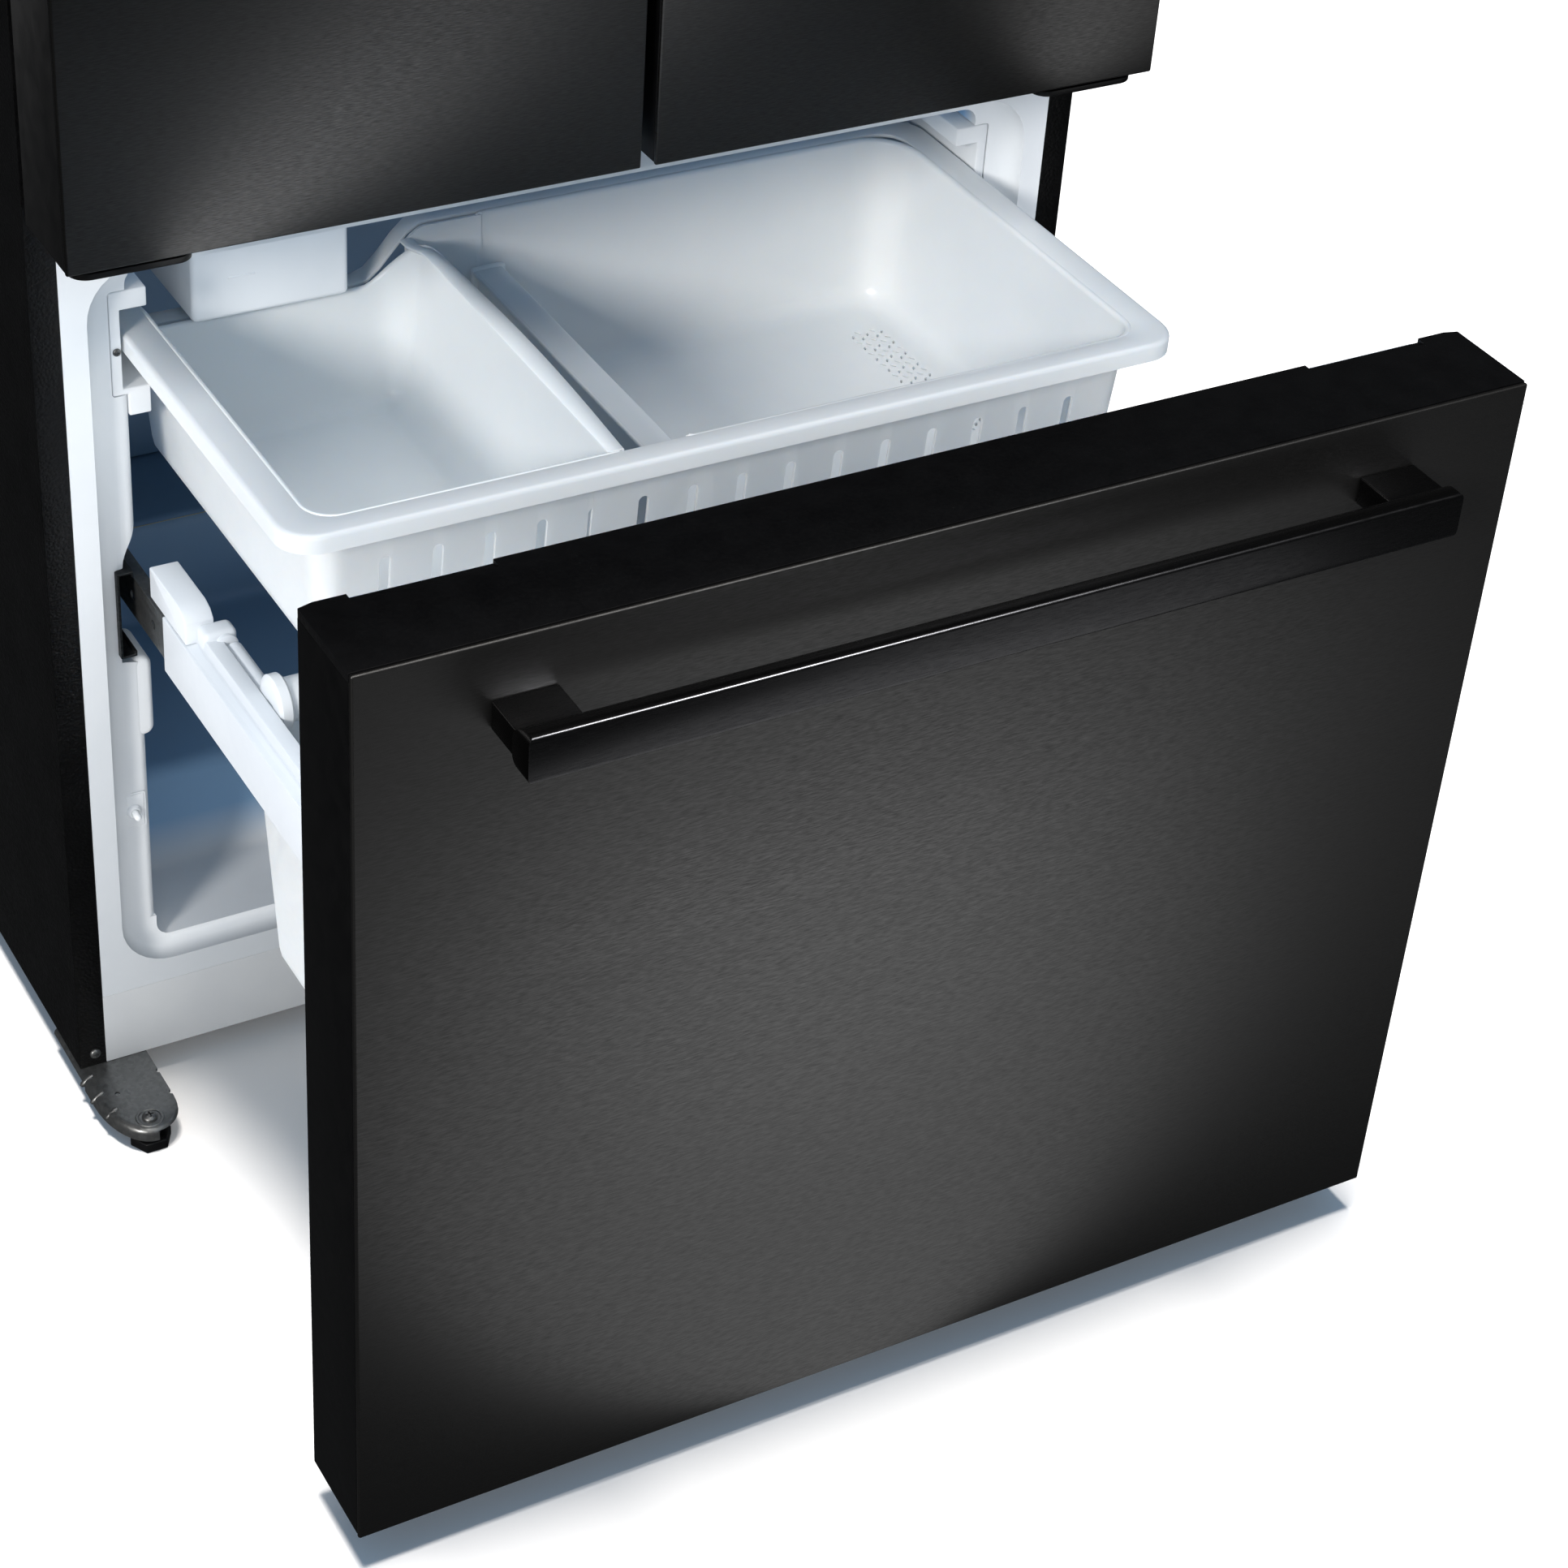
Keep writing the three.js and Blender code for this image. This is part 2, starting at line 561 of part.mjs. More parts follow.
function doorLiner(side) {
  const x = doorSpan(side);
  const inset = SHEET + GAP;
  const back = DOOR.front + DOOR.thick;
  const plate = block(
    [x[0] + inset, x[1] - inset],
    [back - WALL, back],
    [DOOR.bottom + inset, DOOR.top - inset],
  );
  const dikeOuter = prism(roundedRect(mirrored(side, 60, 382), [880, 1690], 20), 'y', back - WALL, 40, 3);
  const dikeInner = prism(roundedRect(mirrored(side, 74, 368), [894, 1676], 12), 'y', back - WALL - 1, 41, 3);
  const web = block(mirrored(side, 70, 372), [back - WALL, back], [888, 1682]);
  const liner = join(plate, cut(dikeOuter, dikeInner), web);
  if (side > 0) return liner;
  const lug = (z) => block([-62, MULLION.axisX - 7], [back - 1, 6], [z, z + 24]);
  return join(liner, lug(960), lug(1560));
}

function frameRing(x, y, z, width) {
  const inner = block(
    [x[0] + width, x[1] - width],
    [y[0] - 1, y[1] + 1],
    [z[0] + width, z[1] - width],
  );
  return cut(block(x, y, z), inner);
}

function doorGasket(side) {
  const back = DOOR.front + DOOR.thick;
  return frameRing(
    mirrored(side, 12, HINGE.x - 1),
    [back + GAP, back + GASKET.thick],
    [832, 1738],
    GASKET.width,
  );
}

function doorBin(side, z, tall) {
  return openTub(mirrored(side, 74.5, 367.5), [-13.5, 88], [z, z + tall], 16, 6, WALL);
}

// Handle bar along X, flat in front, rounded and tapered behind, with a square post near each end.
function barHandle(half) {
  const front = -HANDLE.proud;
  const high = HANDLE.tall / 2;
  const section = new THREE.Shape();
  section.moveTo(front + 3, -high);
  section.bezierCurveTo(front + 12, -high, front + HANDLE.neck, -high + 6, front + HANDLE.neck, -8);
  section.lineTo(front + HANDLE.neck, 5);
  section.bezierCurveTo(front + HANDLE.neck, high - 6, front + 12, high, front + 3, high);
  section.quadraticCurveTo(front, high, front, high - 3);
  section.lineTo(front, -high + 3);
  section.quadraticCurveTo(front, -high, front + 3, -high);
  const bar = prism(section, 'x', -half, half, 4);
  const ends = prism(roundedRect(symmetric(half), symmetric(high + 1), 6), 'y', -HANDLE.proud - 1, 0, 3);
  const inset = HANDLE.half - HANDLE.postOut;
  const wide = HANDLE.postOut - HANDLE.postIn;
  const post = (side) => block(
    mirrored(side, half - inset - wide, half - inset),
    [front + HANDLE.neck - 8, -GAP],
    [-HANDLE.postTall / 2, HANDLE.postTall / 2],
  );
  return join(bar.intersect(ends), post(sides.left), post(sides.right));
}

function flipMullion() {
  return block(
    [MULLION.axisX - MULLION.thick + 2, MULLION.axisX + 2],
    [MULLION.axisY, MULLION.axisY + MULLION.width],
    [MULLION.low, MULLION.high],
  );
}

// ---------- freezer drawer ----------
const DRAWER_FRONT = DOOR.front - DRAWER.travel;
const DRAWER_BACK = DRAWER_FRONT + DOOR.thick;
const PANEL_TOP = DRAWER.top - DRAWER.cap - GAP;

function drawerSkin() {
  const y = [DRAWER_FRONT, DRAWER_BACK];
  const outer = block(symmetric(DOOR.half), y, [DRAWER.bottom, PANEL_TOP]);
  const inner = block(
    symmetric(DOOR.half - SHEET),
    [y[0] + SHEET, y[1] + 1],
    [DRAWER.bottom + SHEET, PANEL_TOP + 1],
  );
  return cut(outer, inner);
}

function drawerCap() {
  const half = DOOR.half;
  const outline = polygon([
    [-half, DRAWER_FRONT], [half, DRAWER_FRONT], [half, DRAWER_BACK - 3], [half - 11, DRAWER_BACK],
    [420, DRAWER_BACK], [420, DRAWER_BACK - 9], [319, DRAWER_BACK - 9], [319, DRAWER_BACK],
    [-319, DRAWER_BACK], [-319, DRAWER_BACK - 9], [-420, DRAWER_BACK - 9], [-420, DRAWER_BACK],
    [-half + 11, DRAWER_BACK], [-half, DRAWER_BACK - 3],
  ]);
  return prism(outline, 'z', PANEL_TOP + GAP, DRAWER.top);
}

function drawerLiner() {
  const inset = SHEET + GAP;
  const plate = block(
    symmetric(DOOR.half - inset),
    [DRAWER_BACK - WALL, DRAWER_BACK],
    [DRAWER.bottom + inset, PANEL_TOP],
  );
  const plug = prism(roundedRect(symmetric(392), [134, 756], 24), 'y', DRAWER_BACK - WALL, DRAWER_BACK + 18, 3);
  const hollow = prism(roundedRect(symmetric(389), [137, 753], 21), 'y', DRAWER_BACK - WALL - 1, DRAWER_BACK + 15, 3);
  return cut(join(plate, plug), hollow);
}

function drawerGasket() {
  return frameRing(
    symmetric(HINGE.x),
    [DRAWER_BACK + GAP, DRAWER_BACK + GASKET.thick],
    [98, 788],
    GASKET.width,
  );
}

function drawerArm(side) {
  const y = [DRAWER_BACK + 18 + GAP, ARM.rear];
  const sheet = 2;
  const web = block(mirrored(side, ARM.outer - sheet, ARM.outer), y, [ARM.low, ARM.high]);
  const top = block(mirrored(side, ARM.inner, ARM.outer), y, [ARM.high - sheet, ARM.high]);
  const shelf = block(mirrored(side, ARM.shelf, ARM.outer), y, [ARM.low, ARM.low + sheet]);
  const stop = block(mirrored(side, ARM.inner, ARM.outer), [BLOCK.front, BLOCK.rear], [ARM.high - 1, BLOCK.top]);
  const nose = block(mirrored(side, ARM.inner - 14, ARM.outer), [-120, BLOCK.front + 1], [486, 509]);
  const stem = rod('y', side * (ARM.inner - 7), 494, 7, BRACE.y + BRACE.wheel + GAP, -110, 6);
  const saddle = block(mirrored(side, ARM.inner, ARM.outer - 1), [BRACE.y - 10, BRACE.y + 10], [486, 501]);
  return join(web, top, shelf, stop, nose, stem, saddle);
}

function braceTube() {
  const tube = rod('x', BRACE.y, BRACE.z, BRACE.tube, -BRACE.wheelInner - 1, BRACE.wheelInner + 1, 10);
  const wheel = (side) => rod(
    'x', BRACE.y, BRACE.z, BRACE.wheel, ...mirrored(side, BRACE.wheelInner, BRACE.wheelOuter), 12,
  );
  return join(tube, wheel(sides.left), wheel(sides.right));
}

function lowerBin() {
  const tub = openTub(symmetric(BIN.half), [BIN.front, BIN.back], [BIN.bottom, BIN.top], 26, BIN.draft, WALL);
  const rim = cut(
    block(symmetric(BIN.rim), [BIN.front, BIN.back], [BIN.top - WALL, BIN.top]),
    block(symmetric(BIN.half - WALL - 1), [BIN.front + WALL + 1, BIN.back - WALL - 1], [BIN.top - WALL - 1, BIN.top + 1]),
  );
  return join(tub, rim);
}

// The upper basket: two tubs under one rolled rim, with the back of the left one lowered for ice.
function upperBasket() {
  const rimZ = [BASKET.top - BASKET.skirt, BASKET.top];
  const rimOuter = prism(
    roundedRect(symmetric(BASKET.half), [BASKET.front, BASKET.back], BASKET.corner), 'z', rimZ[0], rimZ[1], 4,
  );
  const underRim = prism(
    roundedRect(symmetric(BASKET.half - WALL), [BASKET.front + WALL, BASKET.back - WALL], BASKET.corner - WALL),
    'z', rimZ[0] - 1, rimZ[1] - WALL, 4,
  );
  const { half, front, back, draft, gapLow, gapHigh, dividerTop } = BASKET_WALL;
  const z = [BASKET.bottom, BASKET.top];
  const tubs = [[-half, gapLow], [gapHigh, half]];
  const outer = tubs.map((x) => draftedTub(x, [front, back], z, 22, draft));
  const inner = tubs.map((x) => draftedTub(
    [x[0] + WALL, x[1] - WALL], [front + WALL, back - WALL], [z[0] + WALL, z[1] + 1], 19, draft,
  ));
  const slit = block([gapLow + WALL, gapHigh - WALL], [front + WALL, back - WALL], [z[0], z[1] + 1]);
  const aboveDivider = block([gapHigh - WALL - 1, gapHigh + WALL + 8], [front + WALL, back - WALL], [dividerTop, z[1] + 1]);
  const body = cut(join(cut(rimOuter, underRim), ...outer), ...inner, slit, aboveDivider);
  const dip = polygon([
    [ICE_DIP.left, ICE_DIP.z], [ICE_DIP.right, ICE_DIP.z], [ICE_DIP.slope, BASKET.top + 1], [ICE_DIP.left, BASKET.top + 1],
  ]);
  const lowered = prism(dip, 'y', ICE_DIP.front, BASKET.back + 1);
  const rearStrip = block([-half - 4, ICE_DIP.right], [back - 2 * WALL, BASKET.back], [ICE_DIP.z - WALL, ICE_DIP.z]);
  const shoe = (side) => block(mirrored(side, 357, 371), [98, 122], [GUIDE.low + GUIDE.ledge + 0.6, BASKET.top - 1]);
  const slots = Array.from({ length: SLOTS.count }, (_, k) => {
    const x = (k - (SLOTS.count - 1) / 2) * SLOTS.pitch;
    const outline = roundedRect([x - SLOTS.width / 2, x + SLOTS.width / 2], [SLOTS.low, SLOTS.high], SLOTS.width / 2 - 0.05);
    return prism(outline, 'y', front - 2, front + 16, 2);
  });
  const basket = cut(body, lowered, ...slots);
  return join(basket, rearStrip, shoe(sides.left), shoe(sides.right));
}

function iceMaker() {
  const outline = roundedRect([ICE_MAKER.left, ICE_MAKER.right], [ICE_MAKER.low, FREEZER.ceiling - GAP], 6);
  return prism(outline, 'y', ICE_MAKER.front, ICE_MAKER.back, 3);
}

// ---------- build the group ----------
function addCabinet() {
  addPiece('cabinet_shell', cabinetShell(), MATERIAL.blackPaint);
  const backZ = [258, CABINET.top];
  addPiece('back_panel', blockGeometry(symmetric(CABINET.half), [CABINET.depth - 0.7, CABINET.depth], backZ), MATERIAL.galvanised);
  addPiece('machine_cover', machineCover(), MATERIAL.blackPaint);
  addPiece('cabinet_foam', cabinetFoam(), MATERIAL.foam);
  addPiece('fridge_liner', fridgeLiner(), MATERIAL.whitePlastic);
  addPiece('freezer_liner', freezerLiner(), MATERIAL.whitePlastic);
  const faceHalf = CABINET.half - CABINET.flange - GAP;
  addPiece('centre_rail', sheetChannel(symmetric(faceHalf), [0, RAIL.depth], [RAIL.low, RAIL.high]), MATERIAL.whitePaint);
  const toe = [CABINET.bottom, FREEZER_FACE.low - GAP];
  addPiece('lower_front_rail', sheetChannel(symmetric(faceHalf), [0, RAIL.depth], toe), MATERIAL.whitePaint);
  addPiece('base_pan', basePan(), MATERIAL.galvanised);
  addPiece('ice_maker', iceMaker(), MATERIAL.whitePlastic);
  addPiece('drawer_switch_housing', switchHousing(), MATERIAL.whitePlastic);
  addPiece('drawer_switch_pin', rod('y', SWITCH.x, SWITCH.z, SWITCH.pin, SWITCH.tip, MOUTH.depth - GAP, 5), MATERIAL.whitePlastic);
}

function addPairs() {
  for (const [name, side] of Object.entries(sides)) {
    addPiece(`foot_bracket_${name}`, footBracket(side), MATERIAL.galvanised);
    addPiece(`levelling_foot_${name}`, levellingFoot(side), MATERIAL.blackPlastic);
    addPiece(`rear_roller_${name}`, rearRoller(side), MATERIAL.blackPlastic);
    addPiece(`middle_hinge_${name}`, middleHinge(side), MATERIAL.blackPaint);
    addPiece(`top_hinge_${name}`, topHinge(side), MATERIAL.blackPaint);
    addPiece(`basket_guide_${name}`, basketGuide(side), MATERIAL.whitePlastic);
    addPiece(`cabinet_slide_${name}`, cabinetSlide(side), MATERIAL.darkSteel);
    addPiece(`middle_slide_${name}`, middleSlide(side), MATERIAL.galvanised);
    addPiece(`drawer_arm_${name}`, drawerArm(side), MATERIAL.whitePaint);
    addPiece(`crisper_${name}`, crisper(side), MATERIAL.milky);
  }
}

function addMachine() {
  addPiece('evaporator_cover', evaporatorCover(), MATERIAL.whitePlastic);
  const e = EVAPORATOR;
  addPiece('evaporator', finnedBlock(symmetric(e.half), [e.front, e.back], [e.low, e.high], 16, 8), MATERIAL.aluminium);
  const cold = addPiece('evaporator_fan', fanRotor(14, COVER.fanR - 6, 14, 5), MATERIAL.blackPlastic);
  cold.rotation.x = Math.PI / 2;
  cold.position.set(0, COVER.y + WALL + 26, COVER.fanZ);
  addPiece('compressor', compressor(), MATERIAL.blackPaint);
  addPiece('condenser', condenser(), MATERIAL.darkSteel);
  const warm = addPiece('condenser_fan', fanRotor(22, CONDENSER_FAN.r, 18, 6), MATERIAL.blackPlastic);
  warm.rotation.y = Math.PI / 2;
  warm.position.set(CONDENSER_FAN.x, CONDENSER_FAN.y, CONDENSER_FAN.z);
}

function addFridgeInterior() {
  addPiece('lower_shelf', glassShelf(SHELVES.lower), MATERIAL.glass);
  addPiece('upper_shelf', glassShelf(SHELVES.upper), MATERIAL.glass);
  addPiece('crisper_cover', glassShelf(CRISPER.top + 8), MATERIAL.glass);
}

function addDoors() {
  for (const [name, side] of Object.entries(sides)) {
    addPiece(`door_skin_${name}`, doorSkin(side), MATERIAL.blackSteel);
    addPiece(`door_liner_${name}`, doorLiner(side), MATERIAL.whitePlastic);
    addPiece(`door_gasket_${name}`, doorGasket(side), MATERIAL.rubber);
    addPiece(`door_bin_${name}`, doorBin(side, 1040, 110), MATERIAL.milky);
    const handle = addPiece(`door_handle_${name}`, barHandle(DOOR_HANDLE.half), MATERIAL.blackSteel);
    handle.rotation.y = Math.PI / 2;
    handle.position.set(side * DOOR_HANDLE.x, DOOR.front, DOOR_HANDLE.z);
  }
  addPiece('flip_mullion', flipMullion(), MATERIAL.whitePlastic);
}

function addDrawer() {
  addPiece('drawer_skin', drawerSkin(), MATERIAL.blackSteel);
  addPiece('drawer_cap', drawerCap(), MATERIAL.blackPlastic);
  addPiece('drawer_liner', drawerLiner(), MATERIAL.whitePlastic);
  addPiece('drawer_gasket', drawerGasket(), MATERIAL.rubber);
  const handle = addPiece('drawer_handle', barHandle(HANDLE.half), MATERIAL.blackSteel);
  handle.position.set(0, DRAWER_FRONT, DRAWER_HANDLE_Z);
  addPiece('cross_brace', braceTube(), MATERIAL.whitePlastic);
  addPiece('lower_bin', lowerBin(), MATERIAL.milky);
  addPiece('upper_basket', upperBasket(), MATERIAL.milky);
}

addCabinet();
addPairs();
addMachine();
addFridgeInterior();
addDoors();
addDrawer();

export default group;
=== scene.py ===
"""A French-door refrigerator with its freezer drawer drawn open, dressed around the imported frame.

Builders take millimetres and make objects in metres. X runs to the viewer's right, Y runs from
the front into the cabinet, Z is up, and the floor is z = 0.
"""
import math

import bmesh
import bpy
from mathutils import Matrix, Vector


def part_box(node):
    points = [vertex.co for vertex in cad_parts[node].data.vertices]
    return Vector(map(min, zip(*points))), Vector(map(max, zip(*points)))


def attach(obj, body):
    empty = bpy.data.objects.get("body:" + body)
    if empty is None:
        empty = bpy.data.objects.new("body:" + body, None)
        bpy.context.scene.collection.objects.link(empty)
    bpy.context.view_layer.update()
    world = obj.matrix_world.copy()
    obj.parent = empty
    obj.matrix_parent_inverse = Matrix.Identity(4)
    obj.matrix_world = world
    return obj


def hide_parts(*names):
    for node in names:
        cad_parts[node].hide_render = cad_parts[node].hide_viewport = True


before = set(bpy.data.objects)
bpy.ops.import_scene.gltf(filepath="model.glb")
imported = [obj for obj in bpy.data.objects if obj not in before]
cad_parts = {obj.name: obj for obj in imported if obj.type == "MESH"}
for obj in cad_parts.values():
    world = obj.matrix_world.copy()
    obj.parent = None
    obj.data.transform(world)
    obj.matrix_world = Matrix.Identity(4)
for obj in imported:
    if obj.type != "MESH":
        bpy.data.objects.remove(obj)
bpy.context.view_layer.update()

MM = 0.001
LEFT, RIGHT = -1, 1
SIDES = {"left": LEFT, "right": RIGHT}
PLACE = {
    "x": lambda a, b, c: (c, a, b),
    "y": lambda a, b, c: (a, c, b),
    "z": lambda a, b, c: (a, b, c),
}


def span(node):
    """The (low, high) reach of a CAD node along x, y and z, in millimetres."""
    low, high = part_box(node)
    return [(a / MM, b / MM) for a, b in zip(low, high)]


def grow(reach, amount):
    return (reach[0] - amount, reach[1] + amount)


def mirrored(side, near, far):
    return (near, far) if side > 0 else (-far, -near)


def arc(start, end, steps):
    """Angles in radians from start to end degrees, both included."""
    return [math.radians(start + (end - start) * k / steps) for k in range(steps + 1)]


def halfway(reach):
    return (reach[0] + reach[1]) / 2


def outwards(reach):
    """The distances from the centre plane to the near and far end of a reach along x."""
    return sorted(abs(value) for value in reach)


def ease(t):
    t = min(max(t, 0.0), 1.0)
    return t * t * (3 - 2 * t)


# ---------- mesh helpers ----------
def smoothed(obj, angle=40):
    obj.data.shade_smooth()
    obj.data.set_sharp_from_angle(angle=math.radians(angle))
    return obj


def put(name, data):
    """A new object in the scene from a mesh, a light or a camera."""
    obj = bpy.data.objects.new(name, data)
    bpy.context.scene.collection.objects.link(obj)
    return obj


def made(bm, angle):
    """A new object from a bmesh drawn in millimetres."""
    bmesh.ops.recalc_face_normals(bm, faces=bm.faces)
    mesh = bpy.data.meshes.new("piece")
    bm.to_mesh(mesh)
    bm.free()
    mesh.transform(Matrix.Scale(MM, 4))
    return smoothed(put("piece", mesh), angle)


def loft(rings, joined=False, angle=40):
    """Quads between rings of equal length, capped at both ends or joined last to first."""
    bm = bmesh.new()
    rows = [[bm.verts.new(point) for point in ring] for ring in rings]
    pairs = list(zip(rows, rows[1:]))
    if joined:
        pairs.append((rows[-1], rows[0]))
    for low, high in pairs:
        for i in range(len(low)):
            k = (i + 1) % len(low)
            bm.faces.new((low[i], low[k], high[k], high[i]))
    if not joined:
        bm.faces.new(rows[0])
        bm.faces.new(rows[-1])
    return made(bm, angle)


def prism(outline, axis, low, high):
    """An outline pushed along an axis: z takes (x, y), y takes (x, z) and x takes (y, z)."""
    place = PLACE[axis]
    return loft([[place(a, b, c) for a, b in outline] for c in (low, high)])


def block(x, y, z):
    return prism([(x[0], y[0]), (x[1], y[0]), (x[1], y[1]), (x[0], y[1])], "z", *z)


def circle(a, b, radius, steps=32):
    turn = 2 * math.pi / steps
    return [(a + radius * math.cos(k * turn), b + radius * math.sin(k * turn)) for k in range(steps)]


def rod(axis, a, b, radius, low, high, steps=32):
    return prism(circle(a, b, radius, steps), axis, low, high)


def lathe(profile, axis, a, b, steps=40, angle=40):
    """A solid of revolution about a line along an axis. The profile is (radius, place along it)."""
    place = PLACE[axis]
    return loft([[place(u, v, c) for u, v in circle(a, b, r, steps)] for r, c in profile], angle=angle)


def quarter(radius, start=0, end=90, steps=5):
    """(how far in, how far down) points of a rounded edge, from its side to its top."""
    return [(radius * (1 - math.cos(t)), radius * (1 - math.sin(t))) for t in arc(start, end, steps)]


def rectangle(a, b):
    return [(a[0], b[0]), (a[1], b[0]), (a[1], b[1]), (a[0], b[1])]


def offset(corners, amount):
    """A convex anticlockwise polygon with every side moved outwards."""
    lines = []
    for (ax, ay), (bx, by) in zip(corners, corners[1:] + corners[:1]):
        length = math.hypot(bx - ax, by - ay)
        nx, ny = (by - ay) / length, (ax - bx) / length
        lines.append((nx, ny, nx * ax + ny * ay + amount))
    moved = []
    for (a, b, c), (d, e, f) in zip(lines[-1:] + lines[:-1], lines):
        cross = a * e - b * d
        moved.append(((c * e - b * f) / cross, (a * f - c * d) / cross))
    return moved


def rounded(corners, radii, steps=6, divisions=1):
    """The polygon with its corners rounded, and its straight sides cut into divisions."""
    if not isinstance(radii, (list, tuple)):
        radii = [radii] * len(corners)
    tangents = []
    for i, (corner, radius) in enumerate(zip(corners, radii)):
        here = Vector(corner)
        back = (Vector(corners[i - 1]) - here).normalized()
        ahead = (Vector(corners[(i + 1) % len(corners)]) - here).normalized()
        half = back.angle(ahead) / 2
        reach = radius / math.tan(half)
        centre = here + (back + ahead).normalized() * (radius / math.sin(half))
        tangents.append((here + back * reach, here + ahead * reach, centre))
    points = []
    for i, (start, end, centre) in enumerate(tangents):
        a, b = start - centre, end - centre
        sweep = a.angle_signed(b)
        for k in range(steps + 1):
            turn = Matrix.Rotation(-sweep * k / steps, 2)
            points.append(centre + turn @ a)
        following = tangents[(i + 1) % len(tangents)][0]
        for k in range(1, divisions):
            points.append(end.lerp(following, k / divisions))
    return [tuple(point) for point in points]


def rounded_box_outline(a, b, radius, steps=6, divisions=1):
    return rounded(rectangle(a, b), radius, steps, divisions)


def discard(obj):
    mesh = obj.data
    bpy.data.objects.remove(obj)
    bpy.data.meshes.remove(mesh)


def joined(*parts):
    """The parts as one mesh, left overlapping."""
    first, *others = parts
    bm = bmesh.new()
    for part in parts:
        bm.from_mesh(part.data)
    bm.to_mesh(first.data)
    bm.free()
    for part in others:
        discard(part)
    return smoothed(first)


def boolean(base, operation, *tools, angle=40):
    for tool in tools:
        step = base.modifiers.new("step", "BOOLEAN")
        step.operation = operation
        step.solver = "MANIFOLD"
        step.object = tool
    graph = bpy.context.evaluated_depsgraph_get()
    mesh = bpy.data.meshes.new_from_object(base.evaluated_get(graph))
    base.modifiers.clear()
    base.data = mesh
    for tool in tools:
        discard(tool)
    return smoothed(base, angle)


def cut(base, *tools):
    return boolean(base, "DIFFERENCE", *tools)


def union(base, *tools):
    return boolean(base, "UNION", *tools)


def bevelled(obj, width, segments=3, angle=30, only=None):
    """Rounds the sharp edges, or those of them that only(edge) picks."""
    bm = bmesh.new()
    bm.from_mesh(obj.data)
    bmesh.ops.remove_doubles(bm, verts=bm.verts, dist=1e-6)
    bmesh.ops.dissolve_limit(bm, angle_limit=math.radians(1), verts=bm.verts, edges=bm.edges)
    sharp = [
        edge for edge in bm.edges
        if len(edge.link_faces) == 2 and edge.calc_face_angle() > math.radians(angle)
        and (only is None or only(edge))
    ]
    bmesh.ops.bevel(
        bm, geom=sharp, offset=width * MM, offset_type="OFFSET", segments=segments,
        profile=0.5, affect="EDGES", clamp_overlap=True,
    )
    bm.to_mesh(obj.data)
    bm.free()
    return smoothed(obj)


def softened(node, width):
    """A copy of a CAD node with its edges rounded."""
    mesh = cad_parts[node].data.copy()
    mesh.materials.clear()
    return bevelled(put("soft_" + node, mesh), width)


def soft_block(x, y, z, radius, segments=3):
    return bevelled(block(x, y, z), radius, segments)


# ---------- material helpers ----------
def set_inputs(node, **values):
    for key, value in values.items():
        node.inputs[key.replace("_", " ")].default_value = value


def new_material(name, colour, roughness, metallic=0.0, **sockets):
    material = bpy.data.materials.new(name)
    material.use_nodes = True
    shader = material.node_tree.nodes["Principled BSDF"]
    set_inputs(shader, Base_Color=(*colour, 1), Roughness=roughness, Metallic=metallic, **sockets)
    return material


def grey(level, blue=0.0):
    return (level, level, level + blue)


def add(material, kind, **values):
    node = material.node_tree.nodes.new(kind)
    set_inputs(node, **values)
    return node


def link(material, source, target):
    material.node_tree.links.new(source, target)


def shader_input(material, name):
    return material.node_tree.nodes["Principled BSDF"].inputs[name]


def object_place(material, stretch):
    """Object coordinates, in metres, stretched by a factor on each axis."""
    place = add(material, "ShaderNodeTexCoord")
    mapping = add(material, "ShaderNodeMapping", Scale=stretch)
    link(material, place.outputs["Object"], mapping.inputs["Vector"])
    return mapping.outputs["Vector"]


def noise(material, scale, detail=3.0, stretch=(1, 1, 1), distortion=0.0):
    texture = add(material, "ShaderNodeTexNoise", Scale=scale, Detail=detail, Distortion=distortion)
    link(material, object_place(material, stretch), texture.inputs["Vector"])
    return texture.outputs["Fac"]


def cells(material, scale, output="Distance", feature="F1"):
    texture = add(material, "ShaderNodeTexVoronoi", Scale=scale)
    texture.feature = feature
    link(material, object_place(material, (1, 1, 1)), texture.inputs["Vector"])
    return texture.outputs[output]


def remap(material, value, low, high, start=0.3, end=0.7):
    ramp = add(material, "ShaderNodeMapRange", From_Min=start, From_Max=end, To_Min=low, To_Max=high)
    link(material, value, ramp.inputs["Value"])
    return ramp.outputs["Result"]


def two_tone(material, value, low, high, start=0.0, end=1.0):
    """A colour between two colours, led by a value."""
    ramp = add(material, "ShaderNodeValToRGB")
    for element, place, colour in zip(ramp.color_ramp.elements, (start, end), (low, high)):
        element.position = place
        element.color = (*colour, 1)
    link(material, value, ramp.inputs["Fac"])
    return ramp.outputs["Color"]


def tint(material, value, low, high, start=0.3, end=0.7):
    colour = two_tone(material, value, low, high, start, end)
    link(material, colour, shader_input(material, "Base Color"))


def gloss(material, value, low, high):
    link(material, remap(material, value, low, high), shader_input(material, "Roughness"))


def bump(material, value, distance, strength=1.0):
    """Adds one layer of bump. Later layers lie on the earlier ones."""
    normal = shader_input(material, "Normal")
    layer = add(material, "ShaderNodeBump", Distance=distance, Strength=strength)
    link(material, value, layer.inputs["Height"])
    if normal.is_linked:
        link(material, normal.links[0].from_socket, layer.inputs["Normal"])
    link(material, layer.outputs["Normal"], normal)


def layered(material, mottle, shades, sheen, roughness, *grains):
    """Noise that mottles the colour, noise that varies the roughness, then layers of bump."""
    tint(material, noise(material, *mottle), *shades)
    gloss(material, noise(material, *sheen), *roughness)
    for scale, detail, depth, strength in grains:
        bump(material, noise(material, scale, detail), depth, strength)
    return material


